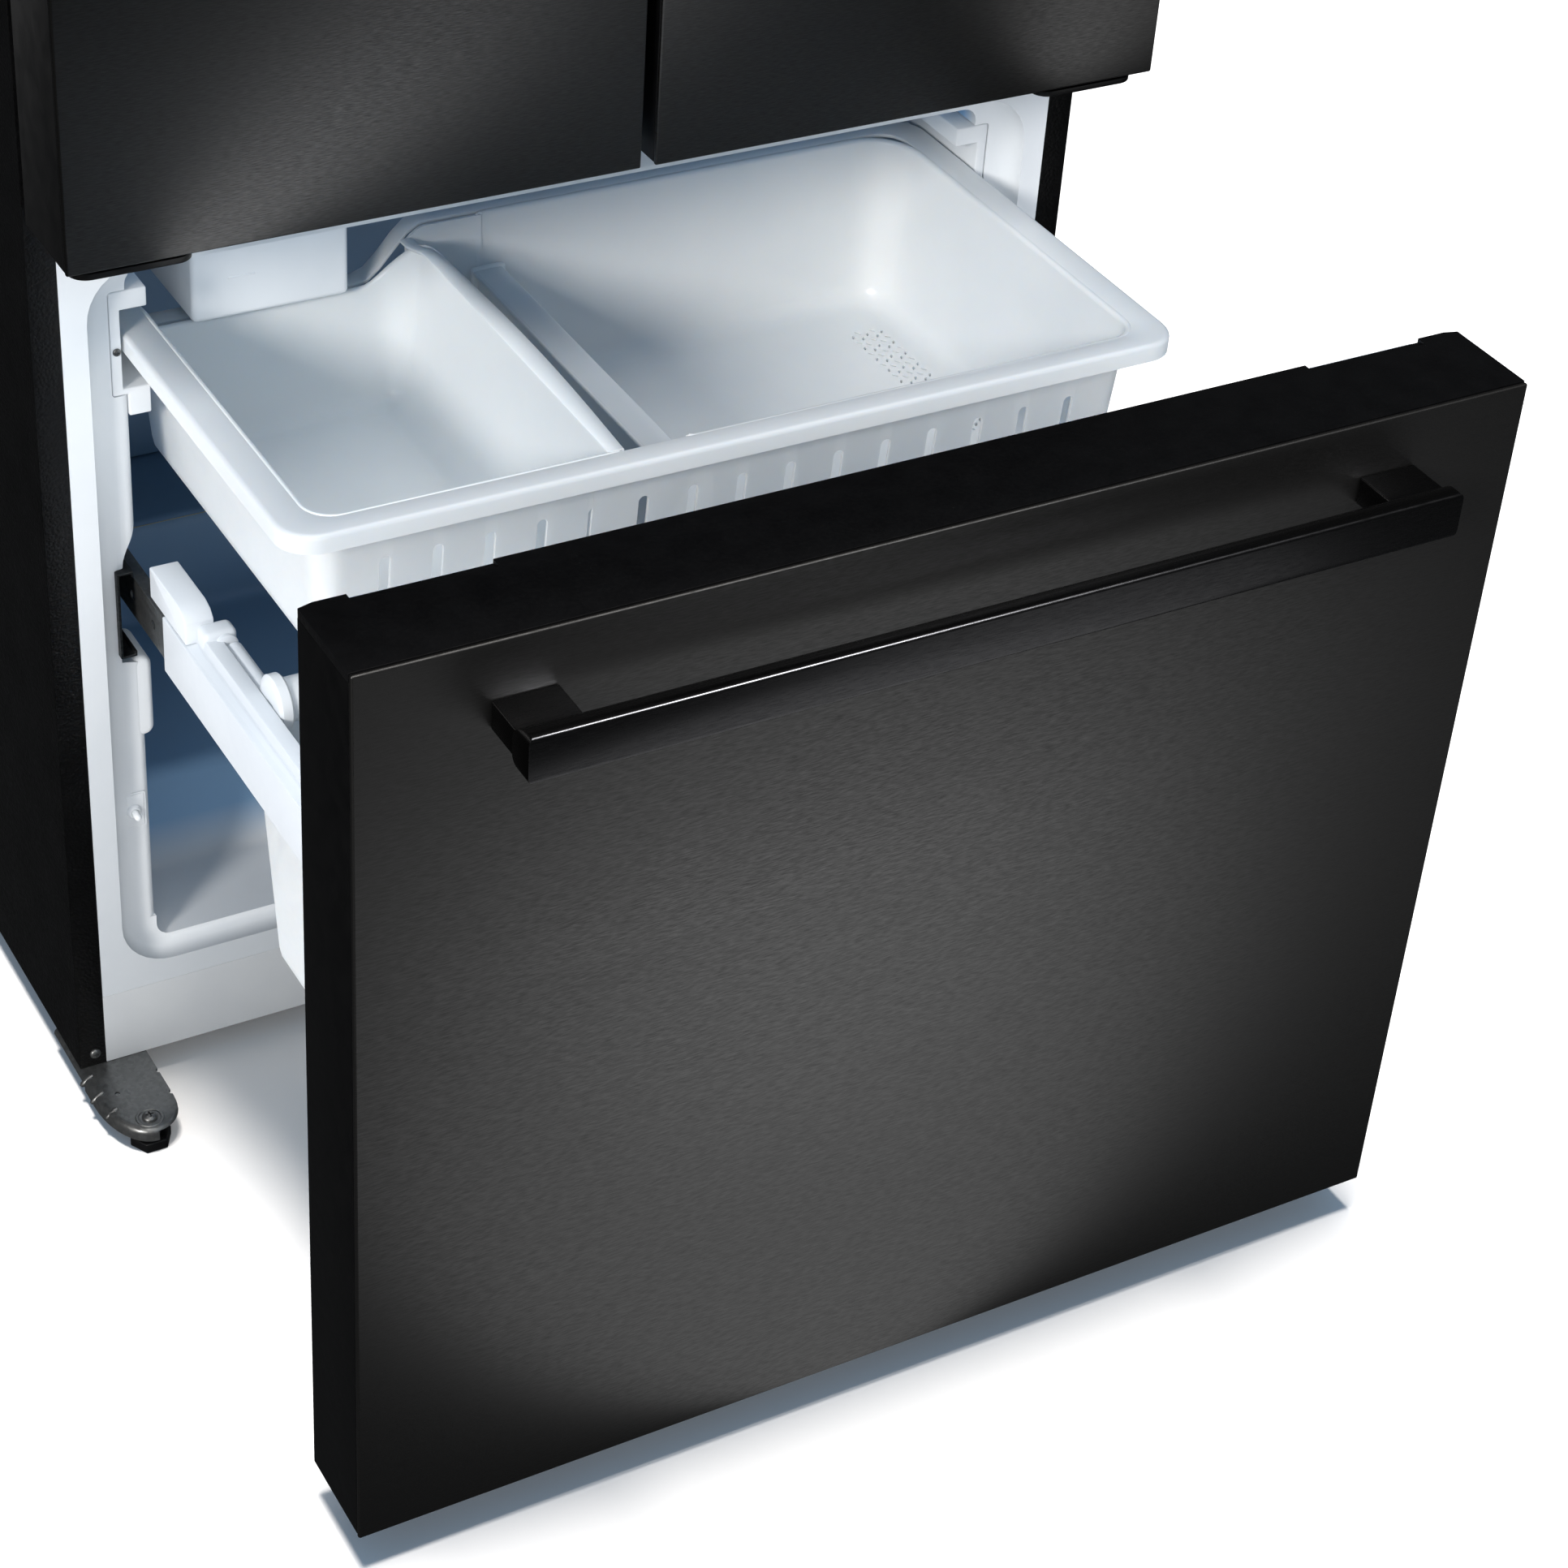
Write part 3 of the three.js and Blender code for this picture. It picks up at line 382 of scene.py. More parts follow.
# ---------- materials ----------
def brushed_steel(name, shades):
    """Black stainless steel with a level brushed grain, between a dark and a light shade."""
    dark, light = shades
    material = new_material(name, grey(light), 0.4, 1.0)
    grain = noise(material, 1.0, 4.0, (130, 130, 1500))
    tint(material, grain, grey(dark), grey(light), 0.25, 0.75)
    gloss(material, grain, 0.47, 0.36)
    bump(material, grain, 0.00004, 0.5)
    return material


def handle_steel(name, stretch):
    """The same steel polished finer, for the bars."""
    material = new_material(name, grey(0.03, 0.001), 0.24, 1.0)
    grain = noise(material, 1.0, 4.0, stretch)
    tint(material, grain, grey(0.034, 0.002), grey(0.056, 0.002), 0.25, 0.75)
    gloss(material, grain, 0.30, 0.20)
    bump(material, grain, 0.00003, 0.4)
    return material


def black_paint():
    material = new_material("satin_black_paint", grey(0.008, 0.001), 0.4, Specular_IOR_Level=0.2)
    mottle = noise(material, 60, 3)
    tint(material, mottle, grey(0.0014, 0.0002), grey(0.0026, 0.0002))
    gloss(material, mottle, 0.36, 0.46)
    bump(material, noise(material, 900, 2), 0.00003, 0.4)
    return material


def leather_grain_paint():
    material = new_material("leather_grain_black_paint", grey(0.006), 0.4, Specular_IOR_Level=0.22)
    wrinkles = cells(material, 420, "Distance", "SMOOTH_F1")
    tint(material, noise(material, 25, 3), grey(0.0012, 0.0001), grey(0.0024, 0.0002))
    gloss(material, noise(material, 200, 3), 0.32, 0.46)
    bump(material, wrinkles, 0.0006, 0.6)
    bump(material, noise(material, 500, 4, distortion=1.0), 0.0003, 0.5)
    return material


def black_plastic():
    colour = grey(0.007, 0.001)
    material = new_material("fine_grain_black_plastic", colour, 0.45, Specular_IOR_Level=0.22)
    shades = (grey(0.0026, 0.0004), grey(0.0044, 0.0004))
    return layered(material, (40, 3), shades, (300, 2), (0.34, 0.46), (2600, 3, 0.00006, 0.6))


MOULDED = ((0.79, 0.81, 0.825), (0.76, 0.785, 0.805))


def white_moulding(name, light, shade, roughness=(0.34, 0.44), **sockets):
    material = new_material(name, light, roughness[0], **sockets)
    grains = [(55, 2, 0.0002, 0.25), (1500, 2, 0.00003, 0.3)]
    return layered(material, (14, 3), (shade, light), (90, 3), roughness, *grains)


def depth_ramp(material, place, axis, start, end, low=0.0, high=1.0):
    """A value that runs from low to high between two places, in metres, along an axis."""
    return remap(material, place.outputs[axis], low, high, start, end)


def painted_shade_liner(name):
    """White moulding with painted shade: darker low on the front face, cold blue and dimmer deep inside.
    """
    material = white_moulding(name, *MOULDED)
    colour = shader_input(material, "Base Color").links[0].from_socket
    coordinates = add(material, "ShaderNodeTexCoord")
    place = add(material, "ShaderNodeSeparateXYZ")
    link(material, coordinates.outputs["Object"], place.inputs["Vector"])
    # Painted shade mask: the walls behind the mouth, above the floor.
    deep_painted_shade_mask = add(material, "ShaderNodeMath")
    deep_painted_shade_mask.operation = "MULTIPLY"
    link(material, depth_ramp(material, place, "Y", 0.024, 0.040), deep_painted_shade_mask.inputs[0])
    link(material, depth_ramp(material, place, "Z", 0.130, 0.160), deep_painted_shade_mask.inputs[1])
    # Painted shade ramps: inwards dims the walls further in, upwards lightens the front face towards the
    # top.
    inwards = depth_ramp(material, place, "Y", 0.04, 0.42)
    upwards = depth_ramp(material, place, "Z", 0.12, 0.74)
    face = depth_ramp(material, place, "Y", 0.002, 0.014, 1.0, 0.0)
    # Painted shade colours: a darker bottom of the front face, and a cold blue shade deep inside.
    shades = [
        (two_tone(material, upwards, (0.62, 0.635, 0.65), (1, 1, 1)), face),
        (two_tone(material, inwards, (0.42, 0.68, 0.97), (0.30, 0.45, 0.62)), deep_painted_shade_mask.outputs[0]),
    ]
    for shade, amount in shades:
        blend = add(material, "ShaderNodeMix")
        blend.data_type = "RGBA"
        blend.blend_type = "MULTIPLY"
        link(material, amount, blend.inputs["Factor"])
        link(material, colour, blend.inputs[6])
        link(material, shade, blend.inputs[7])
        colour = blend.outputs[2]
    link(material, colour, shader_input(material, "Base Color"))
    return material


def galvanised():
    material = new_material("spangled_galvanised_steel", (0.3, 0.31, 0.31), 0.4, 0.9)
    tint(material, cells(material, 330, "Color"), (0.165, 0.17, 0.17), (0.215, 0.22, 0.22), 0.1, 0.9)
    gloss(material, noise(material, 220, 4), 0.30, 0.50)
    bump(material, noise(material, 700, 3), 0.00004, 0.4)
    return material


def plain_metal(name, low, high, roughness):
    material = new_material(name, high, roughness[0], 0.9)
    mottle = (120, 4, (1, 1, 6))
    return layered(material, mottle, (low, high), (400, 3), roughness, (1200, 2, 0.00002, 0.4))


def rubber(name, low, high):
    material = new_material(name, high, 0.6)
    return layered(material, (30, 3), (low, high), (150, 2), (0.55, 0.75), (900, 2, 0.00005, 0.4))


def glass():
    material = new_material("shelf_glass", (0.90, 0.97, 0.95), 0.03, Transmission_Weight=0.95, IOR=1.5)
    gloss(material, noise(material, 30, 2), 0.02, 0.06)
    bump(material, noise(material, 8, 2), 0.0003, 0.1)
    return material


def foam():
    material = new_material("urethane_foam", (0.62, 0.52, 0.28), 0.95)
    tint(material, noise(material, 35, 4), (0.50, 0.40, 0.20), (0.70, 0.60, 0.36))
    bump(material, cells(material, 500), 0.0008, 0.7)
    return material


FINISH = {
    "black_stainless": brushed_steel("brushed_black_stainless", (0.070, 0.118)),
    # The doors' copy of the same steel, drawn about half as bright: painted shade.
    "door_stainless_painted_shade": brushed_steel("door_black_stainless_painted_darker", (0.036, 0.060)),
    "handle_level": handle_steel("handle_black_stainless", (130, 1500, 1500)),
    "handle_upright": handle_steel("upright_handle_black_stainless", (1500, 1500, 130)),
    "black_paint": black_paint(),
    "textured_black_paint": leather_grain_paint(),
    "black_plastic": black_plastic(),
    "white_plastic": white_moulding("white_moulded_plastic", *MOULDED),
    "white_paint": white_moulding(
        "white_painted_steel", (0.72, 0.75, 0.78), (0.69, 0.72, 0.755), (0.28, 0.40),
    ),
    # A darker copy of the white paint for the cross rails: painted shade in its colour.
    "rail_white_painted_shade": white_moulding(
        "white_painted_rail_shaded_darker", (0.44, 0.455, 0.465), (0.41, 0.425, 0.44), (0.30, 0.42),
    ),
    "milky_plastic": white_moulding(
        "milky_translucent_plastic", (0.76, 0.785, 0.80), (0.73, 0.76, 0.78), (0.28, 0.38),
        Subsurface_Weight=0.35, Subsurface_Scale=0.004, Subsurface_Radius=(1.0, 1.3, 1.7),
    ),
    # The freezer liner's finish carries painted shade in its colour.
    "painted_shade_liner": painted_shade_liner("freezer_liner_with_painted_shade"),
    "galvanised": galvanised(),
    "dark_steel": plain_metal(
        "dark_slide_steel", (0.020, 0.022, 0.024), (0.050, 0.054, 0.056), (0.3, 0.5),
    ),
    "white_rubber": rubber("white_gasket_rubber", (0.50, 0.53, 0.55), (0.62, 0.64, 0.66)),
    "black_rubber": rubber("black_gasket_rubber", grey(0.006, 0.001), grey(0.012, 0.001)),
    "clear_glass": glass(),
    "foam": foam(),
    "coil_aluminium": plain_metal(
        "fin_aluminium", (0.45, 0.46, 0.47), (0.62, 0.63, 0.64), (0.3, 0.45),
    ),
}


def piece(obj, name, body, finish, *nodes):
    """Names a finished object, gives it its finish and ties it to the frame."""
    obj.name = name
    obj.data.name = name
    obj.data.materials.clear()
    obj.data.materials.append(FINISH[finish])
    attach(obj, body)
    if nodes:
        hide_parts(*nodes)
    return obj


def soften_node(node, name, body, finish, width):
    return piece(softened(node, width), name, body, finish, node)


# ---------- repeated small parts ----------
TURN = {
    "z": Matrix.Identity(4),
    "-y": Matrix.Rotation(math.radians(90), 4, "X"),
    "y": Matrix.Rotation(math.radians(-90), 4, "X"),
    "x": Matrix.Rotation(math.radians(90), 4, "Y"),
    "-x": Matrix.Rotation(math.radians(-90), 4, "Y"),
}


def pan_head(radius):
    """A cross-recess screw head on the origin, its top along +Z."""
    profile = [(radius, 0), (radius, radius * 0.18)]
    profile += [(radius * math.cos(t), radius * (0.18 + 0.5 * math.sin(t))) for t in arc(15, 80, 5)]
    head = lathe(profile, "z", 0, 0, 28)
    wide, long, floor = radius * 0.13, radius * 0.55, radius * 0.3
    recess = union(
        block((-wide, wide), (-long, long), (floor, radius)),
        block((-long, long), (-wide, wide), (floor, radius)),
    )
    return cut(head, recess)


def screw(place, direction, radius=4.5):
    head = pan_head(radius)
    head.data.transform(Matrix.Translation(Vector(place) * MM) @ TURN[direction])
    return head


def screws(name, body, finish, direction, places, radius=4.5):
    return piece(joined(*[screw(p, direction, radius) for p in places]), name, body, finish)


def tub(corners, base, top, wall, draft, radius, fillet, lip, steps=6, divisions=1, height=None):
    """An open tub with filleted walls as one closed skin.

    The outline narrows by draft towards the base. lip is how far the rim stands out, and
    height(x, y) gives the rim's height where it isn't level.
    """
    edge, round_off = 1.3, 0.6
    flare = min(3.5, wall + lip - edge - 0.2)
    profile = [(-draft - b, 0, a) for a, b in quarter(fillet, steps=4)]
    profile += [(-0.8, 1, -wall - 2), (0, 1, -wall - round_off), (round_off, 1, -wall)]
    profile += [(lip - round_off, 1, -wall), (lip, 1, -wall + round_off), (lip, 1, -edge)]
    profile += [(lip - a, 1, -b) for a, b in quarter(edge, 30, 90, 2)]
    profile += [(b - wall, 1, -a) for a, b in quarter(flare, steps=4)]
    profile += [(-draft - wall - a, 0, wall + b) for a, b in quarter(fillet - wall / 2)]
    rings = []
    for out, share, lift in profile:
        ring = []
        radii = [max(r + out, 2.0) for r in (radius if isinstance(radius, tuple) else [radius] * 4)]
        for x, y in rounded(offset(corners, out), radii, steps, divisions):
            rim = height(x, y) if height else top
            ring.append((x, y, base + share * (rim - base) + lift))
        rings.append(ring)
    return loft(rings, angle=50)


def frame_sweep(a, b, profile, axis, radius=4.0):
    """A closed section carried round a rectangle. The section is (distance inwards, place along)."""
    place = PLACE[axis]
    rings = []
    for inwards, along in profile:
        outline = rounded_box_outline(grow(a, -inwards), grow(b, -inwards), radius, 3)
        rings.append([place(u, v, along) for u, v in outline])
    return loft(rings, joined=True, angle=50)


# ---------- doors and drawer front ----------
SHEET = 4.0          # how deep the folded steel face reads from the side
SEAM = 0.4           # open line between the steel face and the black frame


def steel_face(x, front, z):
    return soft_block(x, (front, front + SHEET), z, 1.7, 4)


def door_frame(x, y, z):
    return soft_block(grow(x, -0.5), (y[0] + SHEET + SEAM, y[1] - 0.3), grow(z, -0.5), 1.4)


def gasket_section(near, far):
    """A bellows seal: a magnet bulb in front, two folds and a foot behind."""
    folds = [
        (1, 0), (17, 0), (17.4, 0.12), (12, 0.2), (12.6, 0.36), (17, 0.46), (17.8, 0.6),
        (0.2, 0.6), (1.2, 0.46), (5.2, 0.36), (5.6, 0.2), (0.6, 0.12),
    ]
    section = [(inwards, near + (far - near) * share) for inwards, share in folds]
    section[7:7] = [(17.6, far - 1.2), (16.2, far), (2.0, far), (0.4, far - 1.2)]
    return section


def gasket(node, name, body, finish):
    x, y, z = span(node)
    return piece(frame_sweep(x, z, gasket_section(*y), "y"), name, body, finish, node)


def handle_section(proud, tall, neck):
    """(y, z) section of the bar: a flat front, and a back that narrows in a round curve."""
    front, half, edge = -proud, tall / 2, 2.6
    above, below = 5, 8         # the straight part of the back, either side of the middle
    reach = neck - edge
    section = [(front + a, half - b) for a, b in quarter(edge, steps=4)]
    for t in arc(15, 90, 8):
        section.append((front + edge + reach * math.sin(t), above + (half - above) * math.cos(t)))
    for t in arc(90, 15, 8):
        section.append((front + edge + reach * math.sin(t), -below - (half - below) * math.cos(t)))
    return section + [(front + a, b - half) for a, b in quarter(edge, 90, 0, 4)]


HANDLE = {"tall": 36, "proud": 56, "neck": 23, "post_half": 10.75, "post_wide": 47, "inset": 1}


def bar_handle(half):
    """A bar along X on the plane y = 0 that stands out towards -Y."""
    tall, proud, neck, post_half, post_wide, inset = HANDLE.values()
    bar = prism(handle_section(proud, tall, neck), "x", -half, half)
    outline = rounded_box_outline((-half, half), grow((-tall / 2, tall / 2), 0.5), 6, 5)
    bar = bevelled(boolean(bar, "INTERSECT", prism(outline, "y", -proud - 1, 0)), 0.9, 3, 50)
    posts = []
    for side in (LEFT, RIGHT):
        x = mirrored(side, half - inset - post_wide, half - inset)
        posts.append(soft_block(x, (neck - proud - 6, -0.3), (-post_half, post_half), 1.3))
    return joined(bar, *posts)


def make_drawer_front():
    x, y, z = span("drawer_skin")
    cap_x, cap_y, cap_z = span("drawer_cap")
    top = cap_z[1] - 0.2
    face = steel_face(x, y[0], (z[0], top))
    piece(face, "drawer_steel_face", "freezer_drawer", "black_stainless", "drawer_skin")
    piece(door_frame(x, y, (z[0], z[1] + 0.4)), "drawer_frame", "freezer_drawer", "black_paint")

    notch_near, notch_far, notch_deep, chamfer = 319, 420, 9, 11
    front, back, half = cap_y[0] + SHEET + 0.3, cap_y[1], cap_x[1]
    right = [
        (half, back - 3), (half - chamfer, back), (notch_far, back), (notch_far, back - notch_deep),
        (notch_near, back - notch_deep), (notch_near, back),
    ]
    left = [(-a, b) for a, b in reversed(right)]
    outline = [(-half, front), (half, front)] + right + left
    cap = prism(outline, "z", cap_z[0], cap_z[1])
    ledges = []
    for side in (LEFT, RIGHT):
        ledge_x = mirrored(side, notch_near - 2, notch_far + 2)
        ledges.append(block(ledge_x, (back - notch_deep - 2, back - 0.4), (cap_z[0], cap_z[1] - 3.2)))
    cap = bevelled(union(cap, *ledges), 1.0)
    piece(cap, "drawer_top_cap", "freezer_drawer", "black_plastic", "drawer_cap")

    soften_node("drawer_liner", "drawer_inner_panel", "freezer_drawer", "white_plastic", 2.2)
    gasket("drawer_gasket", "drawer_seal", "freezer_drawer", "white_rubber")

    handle_x, _, handle_z = span("drawer_handle")
    handle = bar_handle(handle_x[1])
    handle.data.transform(Matrix.Translation((0, y[0] * MM, halfway(handle_z) * MM)))
    piece(handle, "drawer_bar_handle", "freezer_drawer", "handle_level", "drawer_handle")


def make_doors():
    upright = Matrix.Rotation(math.radians(90), 4, "Y")
    for name in SIDES:
        body = f"door_{name}"
        x, y, z = span(f"door_skin_{name}")
        face = steel_face(x, y[0], z)
        # The door face takes the darker copy of the steel, with painted shade in its colour.
        piece(face, f"door_steel_face_{name}", body, "door_stainless_painted_shade", f"door_skin_{name}")
        piece(door_frame(x, (y[0], y[1] + 0.4), z), f"door_frame_{name}", body, "black_paint")
        soften_node(f"door_liner_{name}", f"door_inner_panel_{name}", body, "white_plastic", 2.0)
        gasket(f"door_gasket_{name}", f"door_seal_{name}", body, "black_rubber")

        handle_x, _, handle_z = span(f"door_handle_{name}")
        handle = bar_handle((handle_z[1] - handle_z[0]) / 2)
        centre = Vector((halfway(handle_x), y[0], halfway(handle_z))) * MM
        handle.data.transform(Matrix.Translation(centre) @ upright)
        piece(handle, f"door_bar_handle_{name}", body, "handle_upright", f"door_handle_{name}")

        bin_x, bin_y, bin_z = span(f"door_bin_{name}")
        shelf = tub(rectangle(grow(bin_x, -2), grow(bin_y, -2)), *bin_z, 3, 6, 16, 9, 2)
        piece(shelf, f"door_shelf_bin_{name}", body, "milky_plastic", f"door_bin_{name}")


# ---------- upper basket ----------
RIM_WIDTH = {"front": 21, "side": 27, "back": 19}
RIM_SKIRT = 15
DIP = {"z": 657, "start": -146, "end": -90}     # where the rim steps down for the ice maker
DIVIDER = {"top": 655, "left": -50, "width": 24}
ICE_WALL = {"front": -105, "back": -104, "bow": 6}
SLOTS = {"count": 15, "pitch": 41.3, "low": 580, "high": 655, "width": 8.5}


def rim_drop(x, y, from_y, to_y):
    """How far the basket's rim lies below its level, for the ice maker's sweep."""
    across = 1 - ease((x - DIP["start"]) / (DIP["end"] - DIP["start"]))
    return across * ease((y - from_y) / (to_y - from_y)) * ease((x + 347) / 11)


def basket_ring(x, y, top):
    """The rim round both tubs: a flat strip with a rounded outer edge and a skirt."""
    inner_y = (y[0] + RIM_WIDTH["front"], y[1] - RIM_WIDTH["back"])
    steps, divisions = 8, 56
    outer_line = rounded_box_outline(x, y, 28, steps, divisions)
    inner_line = rounded_box_outline(grow(x, -RIM_WIDTH["side"]), inner_y, 22, steps, divisions)
    wall, edge = 3.0, 4.0
    profile = [(0, -RIM_SKIRT), (0, -edge)]
    profile += [(a, -b) for a, b in quarter(edge, 15)]
    profile += [(24, 0), (25.5, -0.6), (26, -1.6), (26, -wall), (wall + 3, -wall), (wall, -wall - 3)]
    profile += [(wall, -RIM_SKIRT)]
    rings = []
    for inwards, lift in profile:
        ring = []
        for (ox, oy), (ix, iy) in zip(outer_line, inner_line):
            share = inwards / 26
            px, py = ox + (ix - ox) * share, oy + (iy - oy) * share
            drop = (top - DIP["z"]) * rim_drop(px, py, 88, 100)
            ring.append((px, py, top - drop + lift))
        rings.append(ring)
    return loft(rings, joined=True, angle=50)


def front_slots(y, low_x, high_x):
    """The row of upright slots through the front wall that fall between two places along X."""
    tools = []
    for k in range(SLOTS["count"]):
        x = (k - (SLOTS["count"] - 1) / 2) * SLOTS["pitch"]
        if low_x < x < high_x:
            reach = (x - SLOTS["width"] / 2, x + SLOTS["width"] / 2)
            upright = (SLOTS["low"], SLOTS["high"])
            outline = rounded_box_outline(reach, upright, SLOTS["width"] / 2 - 0.05, 5)
            tools.append(prism(outline, "y", *y))
    return joined(*tools)


def floor_holes(x, y, columns, rows):
    """A staggered patch of small slanted holes through the food tub's floor, as (x, y) outlines."""
    tools = []
    for i in range(columns):
        for k in range(rows):
            a = x[0] + (x[1] - x[0]) * i / (columns - 1)
            b = y[0] + (y[1] - y[0]) * (k + (i % 2) * 0.5) / rows
            slant = 0.55 if (i + k) % 2 else -0.55
            outline = [(a + u * 1.3 + w * 2.6 * slant, b + w * 2.6) for u, w in circle(0, 0, 1, 10)]
            tools.append(prism(outline, "z", 540, 562))
    return joined(*tools)


def make_upper_basket():
    x, y, z = span("upper_basket")
    top, base = z[1], z[0]
    front, back = y[0] + RIM_WIDTH["front"], y[1] - RIM_WIDTH["back"] - 3
    left, right = x[0] + RIM_WIDTH["side"], x[1] - RIM_WIDTH["side"]

    def ice_rim(px, py):
        return top + 0.2 - (top - DIP["z"]) * rim_drop(px, py, 50, 96)

    def food_rim(px, py):
        wall = ease((DIVIDER["left"] + 22 - px) / 12)
        within = ease((py - front - 2) / 6) * ease((back - 2 - py) / 6)
        return top - (top - DIVIDER["top"]) * wall * within

    ring = basket_ring(x, y, top)
    wall_x, wall_top = DIVIDER["left"], DIVIDER["top"]
    food = tub(
        rectangle((wall_x, right), (front, back)),
        base, top, 3, 12, (6, 24, 44, 14), 20, 2.5, 7, 30, food_rim,
    )
    near, low = front + 0.4, base + 24
    bridge = prism([
        (near, top - 4), (near + 11.5, base + 26), (near + 15.5, base + 6),
        (near + 18, base + 7), (near + 14.5, base + 26), (near + 3, top - 4),
    ], "x", ICE_WALL["front"] - 20, wall_x + 20)
    rear_rings = []
    for k in range(15):
        px = ICE_WALL["back"] - 4 + (wall_x + 12 - ICE_WALL["back"]) * k / 14
        rim_z = ice_rim(px, back) - 1.7
        section = [(back - 3.4, rim_z), (back - 0.4, rim_z), (back - 12, low), (back - 15, low)]
        rear_rings.append([(px, py, pz) for py, pz in section])
    strip_x = (wall_x - 1, wall_x + DIVIDER["width"])
    strip = soft_block(strip_x, (front + 6, back - 3), (wall_top - 4, wall_top + 0.3), 1.6)
    basket = union(ring, food, bridge, loft(rear_rings), strip)
    slots_y = (front - 3, front + 17)
    holes = floor_holes((276, 304), (-140, 40), 5, 18)
    basket = cut(basket, front_slots(slots_y, -108, 320), holes)
    piece(basket, "basket_rim_and_food_tub", "basket", "milky_plastic", "upper_basket")

    behind = back - 2.5
    ice = tub(
        [(left, front), (ICE_WALL["front"], front), (ICE_WALL["back"], behind), (left, behind)],
        base, top, 3, 12, (24, 6, 34, 24), 22, 1.5, 8, 36, ice_rim,
    )
    for vertex in ice.data.vertices:
        px, py = vertex.co.x / MM, vertex.co.y / MM
        along = math.sin(math.pi * min(max((py - front) / (back - front), 0), 1))
        vertex.co.x += ICE_WALL["bow"] * MM * along * ease((px + 128) / 18)
    ice = cut(ice, front_slots(slots_y, -320, -108))
    piece(ice, "basket_ice_tub", "basket", "milky_plastic")

    rings = []
    for k in range(29):
        py = front + 1 + (behind - 1 - front) * k / 28
        share = (py - front) / (back - front)
        x_left = ICE_WALL["front"] - 11 + 3 * share
        x_right = ICE_WALL["front"] + 2 + (ICE_WALL["back"] - ICE_WALL["front"]) * share
        x_right += ICE_WALL["bow"] * math.sin(math.pi * min(share * 1.1, 1))
        z_top = ice_rim((x_left + x_right) / 2, py) + 0.4
        section = [
            (x_left + 1.5, z_top - 4), (x_right - 1, z_top - 4), (x_right, z_top - 3),
            (x_right, z_top - 1), (x_right - 1, z_top), (x_left + 1.8, z_top),
            (x_left + 0.3, z_top - 0.8), (x_left, z_top - 2.4),
        ]
        rings.append([(px, py, pz) for px, pz in section])
    piece(loft(rings, angle=50), "basket_ice_divider_top", "basket", "milky_plastic")

    clip_x = (wall_x - 3, wall_x + DIVIDER["width"] + 3)
    clip = soft_block(clip_x, (back - 12, back - 1), (612, wall_top + 2), 2.5)
    piece(clip, "basket_divider_clip", "basket", "milky_plastic")

    shoes = [
        soft_block(mirrored(side, 357, 371), (98, 122), (top - 44, top - 3.5), 1.5)
        for side in (LEFT, RIGHT)
    ]
    stud = [(4.5, DIP["z"] - 1), (4.5, DIP["z"] + 2), (3.2, DIP["z"] + 3.4)]
    studs = [lathe(stud, "z", px, y[1] - 10, 20) for px in (-338, -322)]
    piece(joined(*shoes, *studs), "basket_sliding_shoes", "basket", "milky_plastic")


def make_lower_bin():
    x, y, z = span("lower_bin")
    rim = 20
    bin_tub = tub(rectangle(grow(x, -rim), grow(y, -2)), *z, 3, 15, 28, 22, 2, 8)
    flanges = [
        soft_block(mirrored(side, x[1] - rim + 1, x[1]), grow(y, -4), (z[1] - 3.4, z[1] - 0.4), 1.0)
        for side in (LEFT, RIGHT)
    ]
    piece(joined(bin_tub, *flanges), "deep_lower_bin", "freezer_drawer", "milky_plastic", "lower_bin")


# ---------- drawer arms, slides and brace ----------
ARM = {"low": 440, "ledge": 490, "high": 502, "outer": 376.2, "step": 366, "inner": 352, "shelf": 348}
STOP = {"front": -90, "rear": -16}


def arm_section(side):
    """(x, z) section of the arm: top rail, outer ledge, web and bin shelf."""
    low, ledge, high, outer, step, inner, shelf = ARM.values()
    sheet = 2.2
    return [(side * a, b) for a, b in [
        (shelf, low), (outer, low), (outer, ledge), (step, ledge + 2), (step - 1, high), (inner, high),
        (inner, high - sheet), (step - sheet - 1, high - sheet), (step - sheet, ledge + 2 - sheet),
        (outer - sheet, ledge - sheet), (outer - sheet, low + sheet), (shelf, low + sheet),
    ]]


